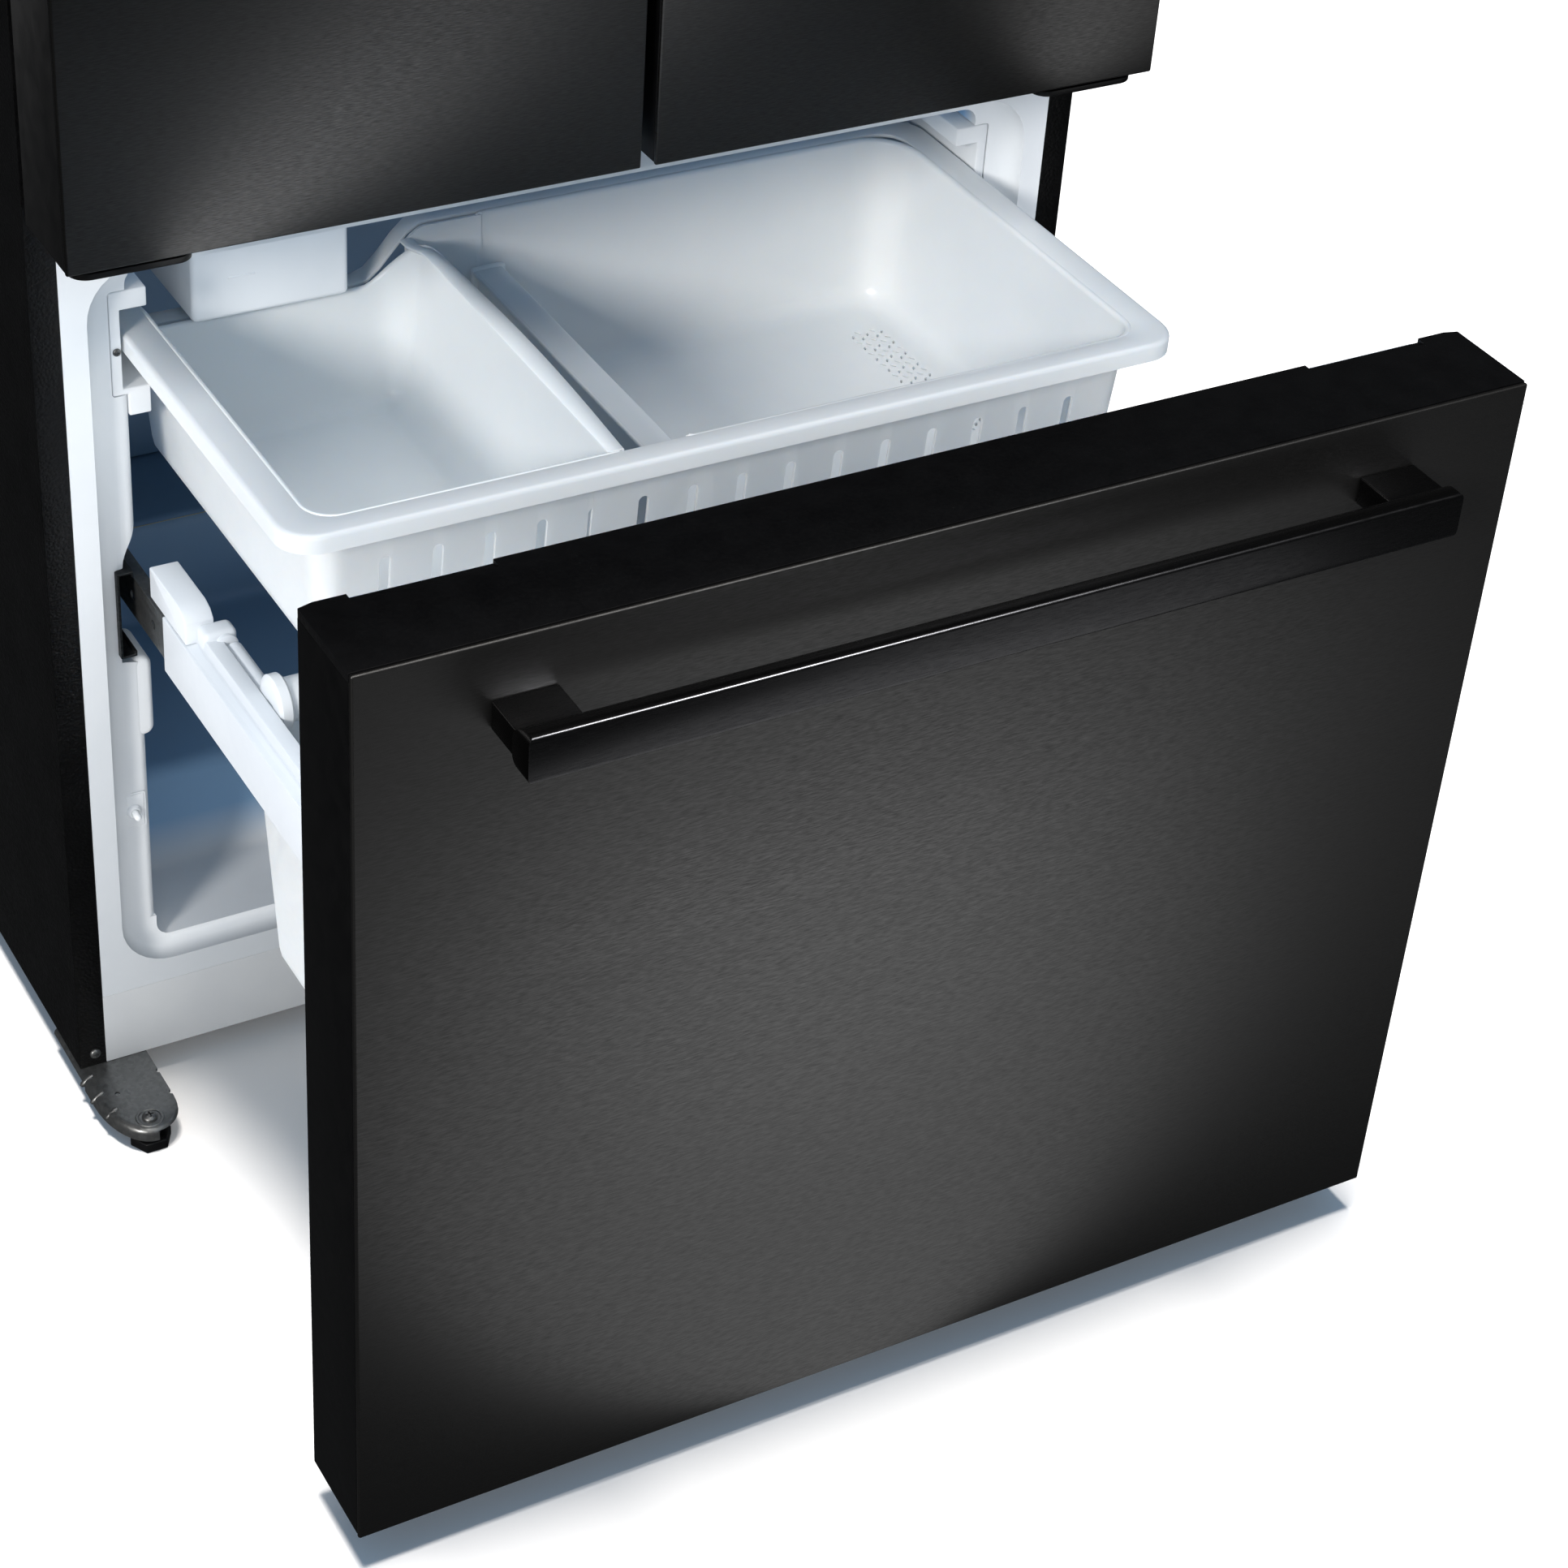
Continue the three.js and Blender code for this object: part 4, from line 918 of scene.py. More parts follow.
def make_arms():
    """Each arm is a rail with a raised stop, then a nose, a boss and a round stem to the wheel."""
    brace_x, brace_y, brace_z = span("cross_brace")
    wheel_y, wheel_z = halfway(brace_y), halfway(brace_z)
    ledge, high, outer, step, inner = list(ARM.values())[1:6]
    near, far = STOP["front"], STOP["rear"]
    for name, side in SIDES.items():
        _, y, z = span(f"drawer_arm_{name}")
        top = z[1]
        rail = bevelled(prism(arm_section(side), "y", y[0], -43), 0.9)
        rail = cut(rail, block(mirrored(side, 368, 374), (-82, -60), (ledge - 4, ledge + 4)))
        stop = prism([
            (far, high - 10), (far, top - 1.5), (far - 1.5, top), (near + 16, top), (near + 6, top - 3),
            (near, top - 9), (near, high - 10),
        ], "x", *mirrored(side, inner, outer - 1))
        nose = soft_block(mirrored(side, inner - 13, step), (-106, near + 3), (486, 508), 5, 4)
        boss_line = [(7, -110), (9.5, -108), (10, -100), (10, -92)]
        boss = lathe(boss_line, "y", side * (inner - 3), 496, 28)
        stem_line = [(6.5, wheel_y + 22.3), (7, -168), (7, -112)]
        stem = lathe(stem_line, "y", side * (inner - 7), 494, 24)
        saddle_x, saddle_y = mirrored(side, inner, step - 2), (wheel_y - 10, wheel_y + 10)
        saddle = soft_block(saddle_x, saddle_y, (486, 501.5), 1.2)
        arm = joined(rail, bevelled(stop, 1.6), nose, boss, stem, saddle)
        piece(arm, f"drawer_side_arm_{name}", "freezer_drawer", "white_paint", f"drawer_arm_{name}")
        catch = soft_block(mirrored(side, 367, 375), (-78, -62), (ledge - 6, ledge - 3.4), 0.6)
        piece(catch, f"slide_catch_{name}", "freezer_drawer", "galvanised")

    wheel_out, wheel_in, wheel_r, tube_r = brace_x[1], brace_x[1] - 11.5, 22, 17
    profile = [(wheel_r - 6, -wheel_out), (wheel_r - 2.2, -wheel_out + 0.2), (wheel_r, -wheel_out + 2.2)]
    profile += [(wheel_r, -wheel_in - 2), (wheel_r - 2, -wheel_in), (tube_r, -wheel_in + 0.5)]
    profile += [(r, -c) for r, c in reversed(profile)]
    brace = lathe(profile, "x", wheel_y, wheel_z, 48)
    slot = rounded_box_outline((wheel_y - 6, wheel_y + 6), (wheel_z - 1.2, wheel_z + 1.2), 1.1)
    slots = [
        prism(slot, "x", *mirrored(side, wheel_out - 1.2, wheel_out + 1)) for side in (LEFT, RIGHT)
    ]
    brace = cut(brace, *slots)
    piece(brace, "cross_tube_and_wheels", "freezer_drawer", "white_plastic", "cross_brace")


def channel_section(side, near, far, low, high, sheet, lip):
    """(x, z) section of a rolled C channel, its open side towards near."""
    return [(side * a, b) for a, b in [
        (near, low), (far, low), (far, high), (near, high),
        (near, high - lip), (near + sheet, high - lip), (near + sheet, high - sheet),
        (far - sheet, high - sheet), (far - sheet, low + sheet),
        (near + sheet, low + sheet), (near + sheet, low + lip), (near, low + lip),
    ]]


def make_slides():
    for name, side in SIDES.items():
        x, y, z = span(f"cabinet_slide_{name}")
        near, far = outwards(x)
        outer = bevelled(prism(channel_section(side, near, far, *z, 2, 5), "y", *y), 0.7)
        piece(outer, f"cabinet_rail_{name}", "cabinet", "dark_steel", f"cabinet_slide_{name}")
        x, y, z = span(f"middle_slide_{name}")
        near, far = outwards(x)
        web, shoe = near + 11.5, 22
        middle = bevelled(prism(channel_section(side, near, web, *z, 2, 6), "y", *y), 0.7)
        carrier = soft_block(mirrored(side, near + 1, far), (y[1] - shoe, y[1]), z, 1.5)
        roller = rod("x", y[1] - shoe / 2, halfway(z), 13, *mirrored(side, web, far + 0.3), 28)
        drill = mirrored(side, web - 4, web + 2)
        holes = [rod("x", y[0] + 24 + k * 46, halfway(z), 4, *drill, 16) for k in range(9)]
        middle = joined(cut(middle, joined(*holes)), carrier, roller)
        piece(middle, f"ball_slide_{name}", f"middle_slide_{name}", "galvanised", f"middle_slide_{name}")


# ---------- freezer compartment ----------
COVE = {"face": 408, "inner": 380, "low": 118, "lip_low": 126, "high": 772, "lip_high": 760, "depth": 20}
ROOM = {
    "half": 371, "floor": 128, "ceiling": 757, "step": 200, "hump": 300, "hump_front": 372, "back": 575,
}


def mouth_space():
    """The coved recess round the freezer's mouth, as a solid to cut away."""
    rings = []
    for angle, y in [(0, -6)] + [(t, COVE["depth"] * math.sin(t)) for t in arc(0, 90, 10)]:
        share = math.cos(angle)
        half = COVE["inner"] + (COVE["face"] - COVE["inner"]) * share
        low = COVE["lip_low"] + (COVE["low"] - COVE["lip_low"]) * share
        high = COVE["lip_high"] + (COVE["high"] - COVE["lip_high"]) * share
        outline = rounded_box_outline((-half, half), (low, high), 24 + 20 * share, 8)
        rings.append([(a, y, b) for a, b in outline])
    return loft(rings, angle=50)


def room_space():
    """The freezer's room: a stepped floor, and soft corners all along."""
    half, floor, ceiling, step, hump, hump_front, back = ROOM.values()
    front = COVE["depth"] - 2
    room = prism([
        (front, floor), (111, floor), (150, step), (hump_front, step), (hump_front, hump),
        (back, hump), (back, ceiling), (front, ceiling),
    ], "x", -half, half)

    def behind(edge):
        start, end = [vertex.co.y for vertex in edge.verts]
        return min(start, end) > (front + 1) * MM or start != end

    return bevelled(room, 12, 4, 20, behind)


def slide_pocket(side):
    """The pocket for the slide, whose opening widens in an S below the basket guide."""
    outline = [(340, 541), (371, 541)]
    outline += [(371 + 13 * ease(t / 8), 541 - 41 * t / 8) for t in range(9)]
    outline += [(388, 492), (392, 484), (392, 420), (389, 412), (371, 407), (340, 407)]
    return prism([(side * a, b) for a, b in outline], "y", COVE["depth"] - 1, 520)


def lip_round(side):
    """Cuts the corner where the recessed face turns into the side wall."""
    radius = 7
    corner_x, corner_y = ROOM["half"] + radius, COVE["depth"] + radius
    outline = [(corner_x - radius * math.cos(t), corner_y - radius * math.sin(t)) for t in arc(0, 90, 6)]
    outline += [(ROOM["half"] - 3, COVE["depth"] - 1), (ROOM["half"] - 3, corner_y)]
    return prism([(side * a, b) for a, b in outline], "z", 150, 735)


def make_freezer_liner():
    x, _, z = span("freezer_liner")
    collar = block((-412, 412), (1, 24), (110, 777))
    body = union(block(x, (0, 3), z), collar, block((-401, 401), (20, 579), (110, 775)))
    body = cut(body, mouth_space(), room_space())
    body = cut(body, slide_pocket(LEFT), slide_pocket(RIGHT), lip_round(LEFT), lip_round(RIGHT))
    guides = []
    for name, side in SIDES.items():
        guide_x, guide_y, guide_z = span(f"basket_guide_{name}")
        near, far = outwards(guide_x)
        outline = rounded_box_outline(mirrored(side, near, far + 0.8), (651.4, guide_z[1] + 0.8), 3, 3)
        guides.append(prism(outline, "y", COVE["depth"] - 4, guide_y[1] + 1))
    body = cut(body, *guides)
    # This finish paints shade: darker low on the front face, cold blue deep inside.
    piece(body, "freezer_compartment_liner", "cabinet", "painted_shade_liner", "freezer_liner")

    pads = []
    for side in (LEFT, RIGHT):
        outline = rounded_box_outline(mirrored(side, 363.5, 382), (335, 411), 8.5, 6)
        pads.append(bevelled(prism(outline, "y", COVE["depth"] + 0.2, 70), 5, 4))
    piece(joined(*pads), "slide_support_pads", "cabinet", "white_plastic")


def make_basket_guides():
    for name, side in SIDES.items():
        soften_node(f"basket_guide_{name}", f"basket_rail_{name}", "cabinet", "white_plastic", 1.3)
    places = [(side * 379.5, 19.6, 690) for side in (LEFT, RIGHT)]
    screws("basket_rail_screws", "cabinet", "galvanised", "-y", places, 3.2)


def make_ice_maker():
    x, y, z = span("ice_maker")
    housing = soft_block(x, y, z, 5, 4)
    rib = soft_block((x[0] + 30, x[0] + 52), (y[0] - 0.35, y[0] + 1), (z[0] + 34, z[0] + 36), 0.3)
    piece(joined(housing, rib), "ice_maker_housing", "cabinet", "white_plastic", "ice_maker")


def make_drawer_switch():
    x, y, z = span("drawer_switch_housing")
    front, back = y
    centre = (halfway(x), halfway(z))
    plate = soft_block(x, y, z, 0.6)
    border = [(0, back), (0, back - 1), (1.2, back - 1), (1.2, back)]
    rim = frame_sweep(grow(x, 1.4), grow(z, 1.4), border, "y", 2)
    neck = [(6.5, front + 0.5), (6.2, front - 1.2), (4.6, front - 3), (3.6, front - 3)]
    collar = cut(lathe(neck, "y", *centre, 24), rod("y", *centre, 3.3, front - 5, front + 2))
    plate = joined(plate, rim, collar)
    piece(plate, "drawer_switch_plate", "cabinet", "white_plastic", "drawer_switch_housing")
    body = "drawer_switch_pin"
    pin_x, pin_y, _ = span(body)
    radius = (pin_x[1] - pin_x[0]) / 2
    tip = [(radius * math.cos(t), pin_y[0] + radius * (1 - math.sin(t))) for t in arc(80, 0, 5)]
    pin = lathe(tip + [(radius, pin_y[1])], "y", *centre, 20)
    piece(pin, "drawer_switch_plunger", body, "white_plastic", body)


# ---------- refrigerator compartment ----------
FRIDGE = {"half": 400, "z": (868, 1700), "back": 575}
GLASS = ("lower_shelf", "upper_shelf", "crisper_cover")


def room_outline(out, radius):
    """(x, z) outline of the refrigerator's room, moved outwards."""
    half = FRIDGE["half"] + out
    return rounded_box_outline((-half, half), grow(FRIDGE["z"], out), radius, 8)


def make_fridge_interior():
    x, _, z = span("fridge_liner")
    half, back, flare, corner = FRIDGE["half"], FRIDGE["back"], 8, 24
    body = union(block(x, (0, 3), z), block((-430, 430), (1, 579), (857, 1711)))
    mouth = [(depth, room_outline(out, corner + out)) for depth, out in quarter(flare, steps=6)]
    rear = [
        (back - short, room_outline(-inset, corner - inset / 2)) for inset, short in quarter(16, steps=6)
    ]
    layers = [(-5, mouth[0][1])] + mouth + rear
    body = cut(body, loft([[(a, depth, b) for a, b in outline] for depth, outline in layers], angle=50))
    ledges = []
    for shelf in GLASS:
        _, shelf_y, shelf_z = span(shelf)
        for side in (LEFT, RIGHT):
            ledge_z = (shelf_z[0] - 8, shelf_z[0] - 0.3)
            ledges.append(soft_block(mirrored(side, half - 9, half + 2), shelf_y, ledge_z, 2))
    piece(joined(body, *ledges), "fridge_compartment_liner", "cabinet", "white_plastic", "fridge_liner")

    for shelf in GLASS:
        x, y, z = span(shelf)
        pane = soft_block(x, grow(y, -1), grow(z, -0.8), 0.8)
        piece(pane, f"{shelf}_pane", "cabinet", "clear_glass", shelf)
        trims = [
            soft_block(grow(x, -1), edge, (z[0] - 2, z[1] + 1.5), 1.5)
            for edge in ((y[0] - 1, y[0] + 14), (y[1] - 12, y[1] + 1))
        ]
        piece(joined(*trims), f"{shelf}_trim", "cabinet", "white_plastic")

    for name in SIDES:
        x, y, z = span(f"crisper_{name}")
        bowl = tub(rectangle(grow(x, -1), (y[0] + 13, y[1] - 1)), z[0], z[1] - 1, 3, 8, 14, 12, 1)
        front = soft_block(grow(x, -0.5), (y[0], y[0] + 13.5), (z[0] + 8, z[1]), 3)
        outline = rounded_box_outline(grow(x, -60), (z[1] - 32, z[1] - 12), 6, 5)
        drawer = joined(cut(front, prism(outline, "y", y[0] - 1, y[0] + 8)), bowl)
        piece(drawer, f"crisper_drawer_{name}", "cabinet", "milky_plastic", f"crisper_{name}")


def make_flip_mullion():
    soften_node("flip_mullion", "flip_mullion_cover", "flip_mullion", "white_plastic", 1.6)


# ---------- cabinet ----------
def make_cabinet():
    soften_node("cabinet_shell", "cabinet_wrapper", "cabinet", "textured_black_paint", 1.6)
    # The cross rails take the darker copy of the white paint, with painted shade.
    soften_node("centre_rail", "centre_cross_rail", "cabinet", "rail_white_painted_shade", 1.2)
    soften_node("lower_front_rail", "lower_cross_rail", "cabinet", "rail_white_painted_shade", 1.2)
    soften_node("base_pan", "base_plate", "cabinet", "galvanised", 0.5)
    places = [(side * 438, 0, 38) for side in (LEFT, RIGHT)]
    screws("flange_screws", "cabinet", "galvanised", "-y", places, 4.6)

    x, y, z = span("back_panel")
    ribs = []
    for low in range(430, 1511, 270):
        outline = rounded_box_outline(grow(x, -90), (low, low + 60), 24, 6)
        ribs.append(bevelled(prism(outline, "y", y[1] - 2, y[1] + 1.2), 1.0))
    sheet = joined(block(x, (y[0] - 0.3, y[1] - 0.2), z), *ribs)
    piece(sheet, "ribbed_back_sheet", "cabinet", "galvanised", "back_panel")

    _, cover_y, cover_z = span("machine_cover")
    back = cover_y[1]
    soften_node("machine_cover", "machine_bay_cover", "cabinet", "black_paint", 0.25)
    lip = [(0, back - 0.5), (0.6, back + 1.4), (1.6, back + 1.4), (2.2, back - 0.5)]
    louvres = [
        frame_sweep((centre - 9, centre + 9), (88, 217), lip, "y", 4) for centre in range(-390, 391, 60)
    ]
    piece(joined(*louvres), "machine_bay_louvres", "cabinet", "black_paint")
    rows = (cover_z[0] + 12, cover_z[1] - 10)
    places = [(px, back, pz) for px in (-430, -215, 0, 215, 430) for pz in rows]
    rows = (300, 640, 980, 1320, 1660, 1730)
    places += [(side * 440, y[1], pz) for side in (LEFT, RIGHT) for pz in rows]
    screws("back_screws", "cabinet", "galvanised", "y", places, 3.6)


def make_hinges():
    for name in SIDES:
        soften_node(f"middle_hinge_{name}", f"middle_hinge_plate_{name}", "cabinet", "black_paint", 1.3)
        soften_node(f"top_hinge_{name}", f"top_hinge_arm_{name}", "cabinet", "black_paint", 1.0)
        x = span(f"top_hinge_{name}")[0]
        cover = soft_block(grow(x, 3), (8, 112), (1745.3, 1772), 7, 4)
        cover = cut(cover, block(grow(x, 0.5), (-10, 106), (1740, 1770.2)))
        piece(cover, f"top_hinge_cover_{name}", "cabinet", "black_plastic")


FOOT_PLATE = {
    "inner": 393, "outer": 453.5, "front": -98, "back": 60, "top": 24.7, "skirt": 12.7, "thick": 2,
}


def foot_outline(inset, roll):
    """(x, y) outline of the foot bracket, its outer side and nose drawn in by roll."""
    inner, back = FOOT_PLATE["inner"] + inset, FOOT_PLATE["back"] - inset
    outer, nose = FOOT_PLATE["outer"] - inset - roll, FOOT_PLATE["front"] + inset + roll
    tip = inner + 27
    points = [(inner, back), (inner, nose + 30)]
    points += [(tip - 27 * math.cos(t), nose + 30 * (1 - math.sin(t))) for t in arc(10, 90, 7)]
    for t in arc(8, 90, 9):
        points.append((outer - (outer - tip) * (1 - math.sin(t)), nose + 62 * (1 - math.cos(t))))
    return points + [(outer, back)]


def foot_shell(inset, top, low):
    rings = [[(x, y, low) for x, y in foot_outline(inset, 0)]]
    for roll, drop in quarter(5 - inset):
        rings.append([(x, y, top - drop) for x, y in foot_outline(inset, roll)])
    return loft(rings, angle=50)


def foot_bracket(foot_x, foot_y):
    """The right-hand bracket: a rolled plate with its holes, a raised ring and three ribs."""
    top, thick, skirt = FOOT_PLATE["top"], FOOT_PLATE["thick"], FOOT_PLATE["skirt"]
    inner, outer = FOOT_PLATE["inner"], FOOT_PLATE["outer"]
    holes = [
        (foot_x, foot_y, 5.3), (434.6, -41.7, 2.4), (inner - 0.5, -28, 2.6), (inner - 0.5, -58, 2.6),
    ]
    plate = cut(
        foot_shell(0, top, skirt),
        foot_shell(thick, top - thick, skirt - 2),
        block((inner - 5, inner + 26), (-99, 61), (5, top - thick - 0.6)),
        block((inner - 5, outer + 5), (-14, 62), (5, top - 6)),
        *[rod("z", x, y, radius, 0, 40) for x, y, radius in holes],
    )
    ring = [(12.5, top - 0.4), (11.4, top + 0.7), (9.6, top + 0.7), (8.6, top - 0.4)]
    parts = [plate, lathe(ring, "z", foot_x, foot_y, 36)]
    lean = Matrix.Rotation(math.radians(38), 4, "Y")
    edge = [point for point in foot_outline(0, 0) if point[0] > 430]
    for along in (-12, -36, -60):
        rib = lathe([(1.2, -7), (2.6, -5), (3.0, 0), (2.6, 5), (1.2, 7)], "x", 0, 0, 14)
        nearest = min(edge, key=lambda point: abs(point[1] - along))
        rib_x = nearest[0] if along < -36 else outer
        rib.data.transform(Matrix.Translation(Vector((rib_x - 3, along, top - 3.2)) * MM) @ lean)
        parts.append(rib)
    return joined(*parts)


def make_feet():
    for name, side in SIDES.items():
        body = f"levelling_foot_{name}"
        x, y, _ = span(body)
        foot_x, foot_y = halfway(x), halfway(y)
        bracket = foot_bracket(abs(foot_x), foot_y)
        if side < 0:
            bracket.data.transform(Matrix.Scale(-1, 4, (1, 0, 0)))
            bracket.data.flip_normals()
        piece(bracket, f"foot_bracket_plate_{name}", "cabinet", "galvanised", f"foot_bracket_{name}")

        nut = bevelled(prism(circle(foot_x, foot_y, 18, 6), "z", 0, 9.4), 1.2)
        stud = lathe([(8.5, 8), (8.5, 11), (4.6, 13), (4.6, 24)], "z", foot_x, foot_y, 24)
        piece(joined(nut, stud), f"levelling_foot_hex_{name}", body, "black_plastic", body)
        place = (foot_x, foot_y, FOOT_PLATE["top"] - 0.2)
        screws(f"levelling_screw_head_{name}", body, "galvanised", "z", [place], 6.4)


def make_rollers():
    for name in SIDES:
        body = f"rear_roller_{name}"
        x, y, z = span(body)
        radius, low, high = (y[1] - y[0]) / 2, x[0] + 6, x[1] - 6
        centre = halfway((low, high))
        face = [(9, low + 0.3), (radius - 5, low + 2.5), (radius - 1.6, low), (radius, low + 1.6)]
        groove = [(radius, -2), (radius - 1.2, -1), (radius - 1.2, 1), (radius, 2)]
        profile = [(4, x[0]), (4, low)] + face + [(r, centre + c) for r, c in groove]
        profile += [(r, low + high - c) for r, c in reversed(face)] + [(4, high), (4, x[1])]
        wheel = lathe(profile, "x", halfway(y), halfway(z), 40)
        piece(wheel, f"{body}_wheel", body, "black_plastic", body)


# ---------- cold and machine parts ----------
def fan(node, axis, hub, radius, depth, count):
    """A hub with curved blades in place of a fan node, turned to face along an axis."""
    half = depth / 2
    parts = [lathe([(hub - 2, -half), (hub, 2 - half), (hub, half - 3), (hub - 3, half)], "z", 0, 0, 28)]
    aerofoil = [
        (-1, -0.7), (-0.3, -1.2), (0.4, -1.0), (1, -0.2), (1, 0.2), (0.4, 0.8), (-0.3, 0.9), (-1, 0.1),
    ]
    for k in range(count):
        rings = []
        for i in range(7):
            share = i / 6
            reach = hub - 3 + (radius - hub + 3) * share
            chord = radius * (0.26 + 0.22 * share)
            pitch = math.radians(46 - 18 * share)
            ring = []
            for u, w in aerofoil:
                turn = 0.35 * share + u * chord * math.cos(pitch) / reach
                lift = u * chord * math.sin(pitch) * 0.55 + 1.75 * (1 - u * u) + w
                ring.append((reach * math.cos(turn), reach * math.sin(turn), lift))
            rings.append(ring)
        blade = loft(rings, angle=60)
        blade.data.transform(Matrix.Rotation(2 * math.pi * k / count, 4, "Z"))
        parts.append(blade)
    rotor = joined(*parts)
    centre = Vector([halfway(reach) for reach in span(node)]) * MM
    rotor.data.transform(Matrix.Translation(centre) @ TURN[axis])
    return rotor


def make_compressor():
    x, y, z = span("compressor")
    centre_x, centre_y, low, radius = halfway(x), halfway(y), z[0], 84
    profile = [(radius * 0.55, 12), (radius * 0.86, 16), (radius * 0.98, 36), (radius, 84)]
    profile += [(radius + 2, 88), (radius + 2, 94), (radius - 1, 98)]
    profile += [((radius - 1) * math.cos(t), 98 + 78 * math.sin(t)) for t in arc(10, 82, 8)]
    can = lathe([(r, low + up) for r, up in profile], "z", centre_x, centre_y, 48)
    foot_x, foot_y = (centre_x - 86, centre_x + 86), (centre_y - 68, centre_y + 68)
    foot = soft_block(foot_x, foot_y, (low, low + 14), 3)
    box_y = (centre_y - radius - 6, centre_y - radius + 20)
    box = soft_block((centre_x - 30, centre_x + 30), box_y, (low + 40, low + 90), 4)
    piece(joined(can, foot, box), "compressor_can", "cabinet", "black_paint", "compressor")


def make_machine():
    # The cover takes the liner finish with its painted cold blue shade.
    soften_node("evaporator_cover", "cold_air_cover", "cabinet", "painted_shade_liner", 0.8)
    soften_node("evaporator", "evaporator_fins", "cabinet", "coil_aluminium", 0.5)
    for name, node, axis, sizes in [
        ("cold_air_fan", "evaporator_fan", "-y", (14, 51, 14, 5)),
        ("cooling_fan", "condenser_fan", "x", (22, 63, 18, 6)),
    ]:
        piece(fan(node, axis, *sizes), name, node, "black_plastic", node)
    soften_node("condenser", "condenser_coil", "cabinet", "dark_steel", 0.8)
    make_compressor()


def dress_hidden_nodes():
    """The foam is out of sight between shell and liners, and keeps its CAD shape."""
    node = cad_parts["cabinet_foam"]
    node.data.materials.clear()
    node.data.materials.append(FINISH["foam"])


# ---------- studio ----------
WHITE = (1, 1, 1)
WARM = (1.0, 0.965, 0.925)
CAMERA = {
    "place": (-1.1542, -2.2154, 2.0256),
    "right": (0.8712, -0.4867, 0.0641),
    "forward": (0.4265, 0.6858, -0.5897),
    "lens": 81.48,
}


def make_camera():
    forward = Vector(CAMERA["forward"]).normalized()
    right = Vector(CAMERA["right"])
    right = (right - forward * right.dot(forward)).normalized()
    axes = Matrix((right, right.cross(forward), -forward)).transposed().to_4x4()
    camera = put("camera", bpy.data.cameras.new("camera"))
    camera.data.lens = CAMERA["lens"]
    camera.data.sensor_width = 36
    camera.data.clip_end = 100
    camera.matrix_world = Matrix.Translation(CAMERA["place"]) @ axes
    bpy.context.scene.camera = camera


def lamp(name, kind, direction, power, colour=WHITE):
    """A light that shines along a direction."""
    light = put(name, bpy.data.lights.new(name, kind))
    light.data.energy = power
    light.data.color = colour
    light.rotation_euler = Vector(direction).to_track_quat("-Z", "Y").to_euler()
    return light


def softbox(name, place, aim, size, power, colour=WHITE):
    light = lamp(name, "AREA", Vector(aim) - Vector(place), power, colour)
    light.data.shape = "RECTANGLE"
    light.data.size, light.data.size_y = size
    light.location = place
    light.visible_camera = False
    return light


def glow_disc(name, x, y, z, size, power, turn):
    """An oval softbox that lies flat, shines up and is turned about the vertical by degrees."""
    light = softbox(name, (x, y, z), (x, y, z + 1), size, power)
    light.data.shape = "ELLIPSE"
    light.rotation_euler.rotate_axis("Z", math.radians(turn))
    return light


def sun(name, direction, strength, spread, colour=WHITE):
    light = lamp(name, "SUN", direction, strength, colour)
    light.data.angle = math.radians(spread)
    return light


def link_light(light, state, *names):
    """Keeps a light off the named objects (EXCLUDE) or to them alone (INCLUDE)."""
    receivers = bpy.data.collections.new(light.name + "_receivers")
    for name in names:
        receivers.objects.link(bpy.data.objects[name])
    for entry in receivers.collection_objects:
        entry.light_linking.link_state = state
    light.light_linking.receiver_collection = receivers


def make_world():
    """White to the camera, nearly dark in reflections and a cold fill on everything else."""
    world = bpy.data.worlds.new("studio")
    bpy.context.scene.world = world
    world.use_nodes = True
    nodes, links = world.node_tree.nodes, world.node_tree.links
    result = nodes["Background"]
    set_inputs(result, Color=(0.32, 0.60, 0.96, 1), Strength=0.36)
    rays = nodes.new("ShaderNodeLightPath")
    for ray, colour, strength in [
        ("Is Glossy Ray", (0.9, 0.95, 1), 0.036),
        ("Is Camera Ray", WHITE, 1.1),
    ]:
        seen = nodes.new("ShaderNodeBackground")
        set_inputs(seen, Color=(*colour, 1), Strength=strength)
        mix = nodes.new("ShaderNodeMixShader")
        links.new(rays.outputs[ray], mix.inputs[0])
        links.new(result.outputs[0], mix.inputs[1])
        links.new(seen.outputs[0], mix.inputs[2])
        result = mix
    links.new(result.outputs[0], nodes["World Output"].inputs["Surface"])


def make_floor():
    half = 9.0
    bm = bmesh.new()
    bm.faces.new([bm.verts.new((a, b, 0)) for a, b in rectangle((-half, half), (-half, half))])
    mesh = bpy.data.meshes.new("floor")
    bm.to_mesh(mesh)
    bm.free()
    floor = put("floor", mesh)
    material = new_material(
        "studio_floor", (0.93, 0.88, 0.83), 0.8,
        Specular_IOR_Level=0.0, Emission_Color=(*WHITE, 1), Emission_Strength=0.08,
    )
    floor.data.materials.append(material)
    floor.visible_glossy = False


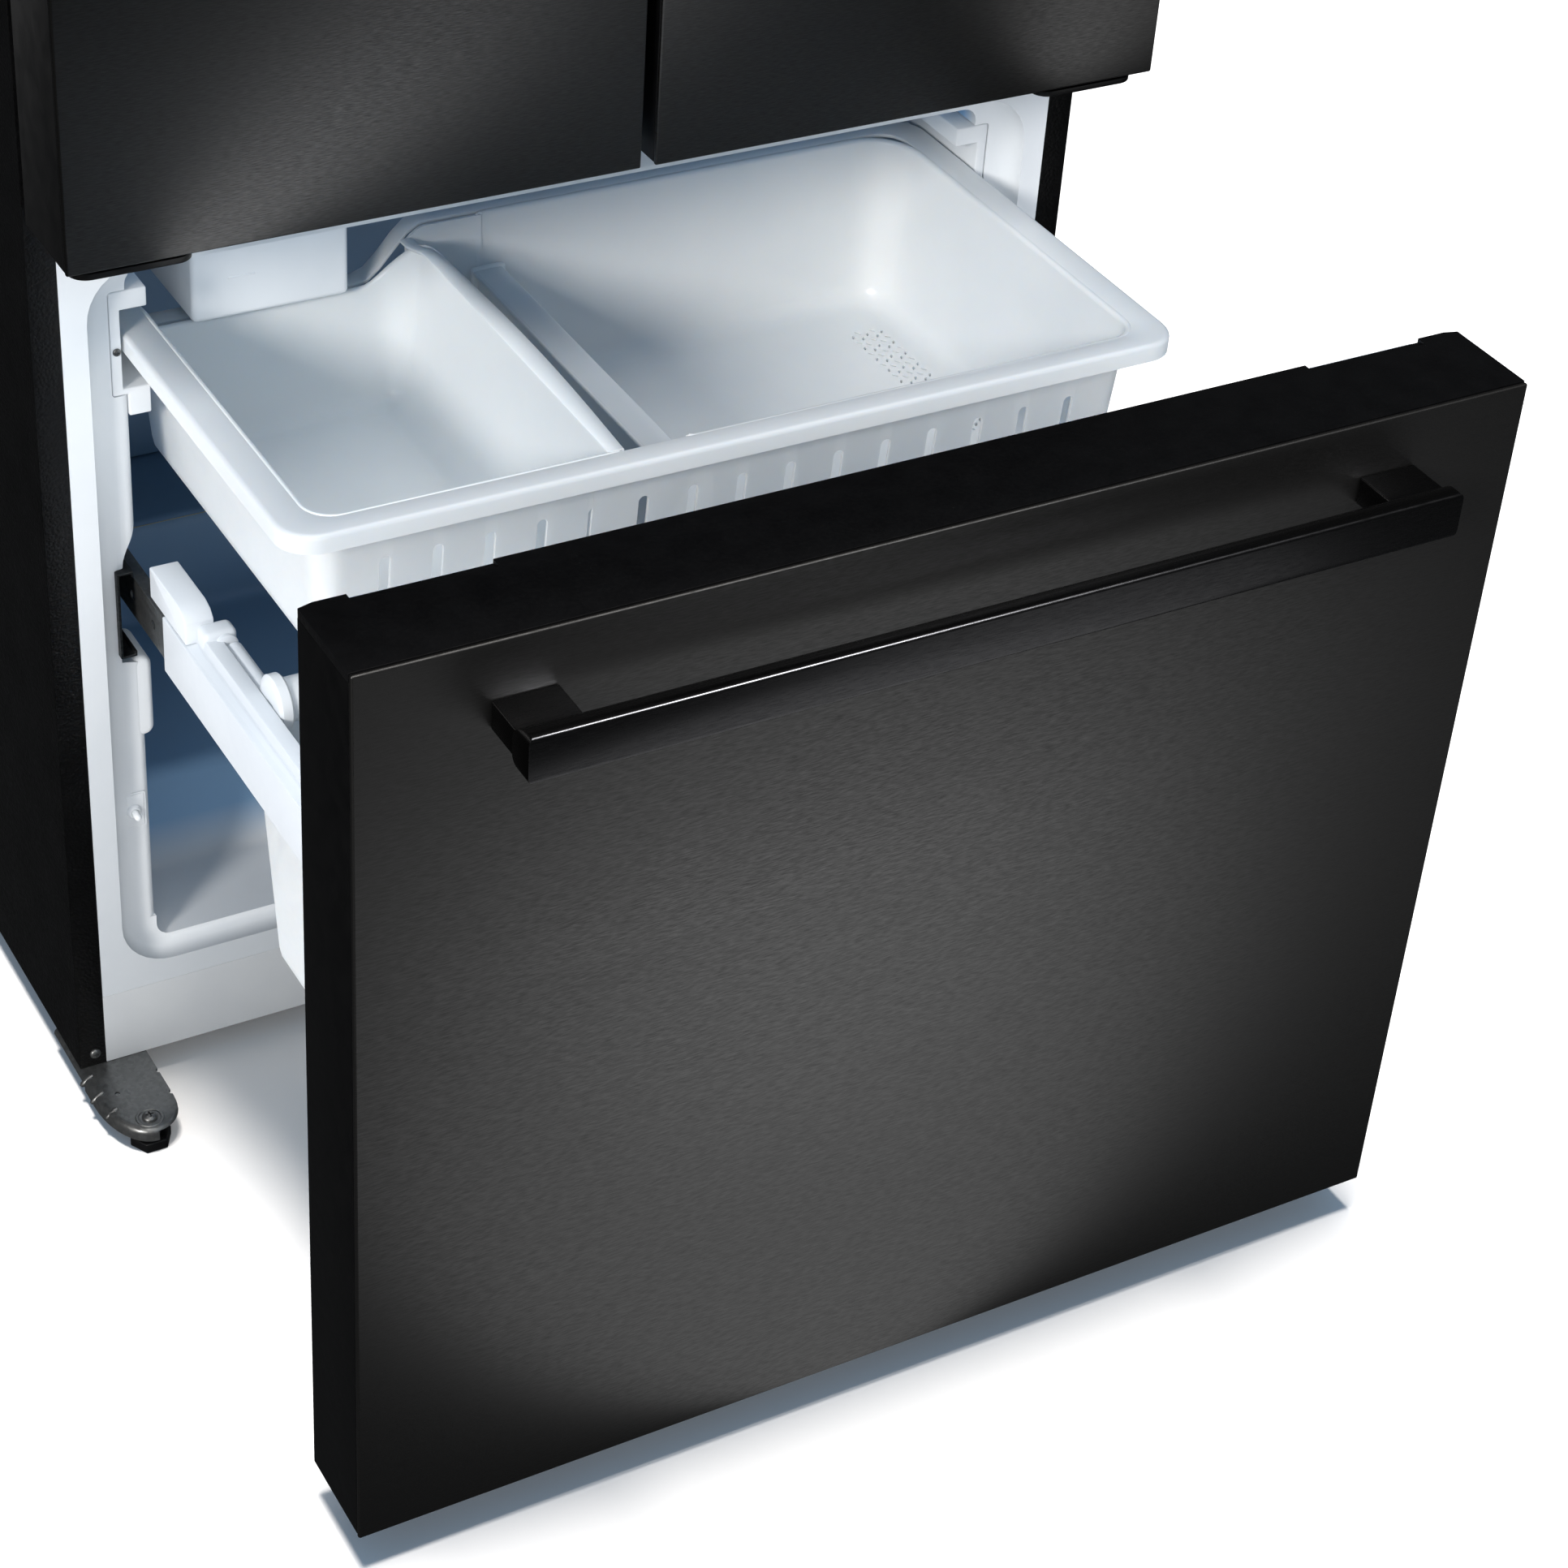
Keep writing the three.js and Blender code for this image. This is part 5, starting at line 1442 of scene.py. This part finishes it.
def make_lights():
    for name, direction, strength, spread in [
        ("key", (0.76, 0.53, -0.40), 2.5, 14),
        ("overhead", (-0.03, 0.36, -1.0), 1.45, 44),
    ]:
        link_light(sun(name, direction, strength, spread, WARM), "EXCLUDE", "floor")
    link_light(sun("floor_wash", (0.03, 0.0, -1.0), 5.0, 14), "INCLUDE", "floor")

    for name, x, y, width, length, level in [
        ("core", 0.32, -1.34, 0.36, 0.8, 2.9),
        ("middle", 0.32, -1.34, 0.65, 1.2, 2.6),
        ("wide", 0.31, -1.32, 1.0, 1.75, 1.65),
        ("far", 0.80, -1.72, 1.0, 1.1, 1.3),
    ]:
        power = level * width * length
        glow_disc(f"panel_{name}_glow", x, y, 0.02, (width, length), power, -42)
    for name, x, y, size, power in [
        ("left", -0.02, -0.345, (0.85, 0.11), 0.56),
        ("right", 0.62, -0.29, (0.55, 0.12), 0.27),
    ]:
        band = glow_disc(f"door_band_{name}", x, y, 0.803, size, power, 33)
        band.visible_diffuse = False

    cold = (0.78, 0.91, 1.0)
    fill = softbox("basket_fill", (-0.40, -0.38, 0.97), (-0.25, 0.05, 0.65), (0.5, 0.2), 0.55, cold)
    fill.visible_glossy = False
    link_light(fill, "EXCLUDE", "basket_rim_and_food_tub")

    panel, ice_maker, door_side = (0, -0.6, 0.75), (-0.23, 0.10, 0.71), (-0.454, -0.05, 1.25)
    for name, target, place, aim, size, power in [
        ("ice_maker_glow", "ice_maker_housing", (-0.55, -0.38, 0.90), ice_maker, (0.3, 0.2), 1.1),
        ("door_side_glow", "door_frame_left", (-1.25, 1.6, 0.95), door_side, (0.9, 1.0), 7),
        ("handle_edge_light", "drawer_bar_handle", (0.62, -2.2, 2.35), panel, (0.7, 0.7), 120),
        ("face_edge_light", "drawer_steel_face", (1.0, -2.2, 2.35), panel, (0.9, 0.9), 14),
    ]:
        link_light(softbox(name, place, aim, size, power), "INCLUDE", target)


bpy.context.scene.view_settings.view_transform = "Standard"
make_camera()
make_world()
make_floor()
make_cabinet()
make_hinges()
make_feet()
make_rollers()
make_freezer_liner()
make_basket_guides()
make_ice_maker()
make_drawer_switch()
make_slides()
make_arms()
make_upper_basket()
make_lower_bin()
make_drawer_front()
make_doors()
make_flip_mullion()
make_fridge_interior()
make_machine()
dress_hidden_nodes()
make_lights()
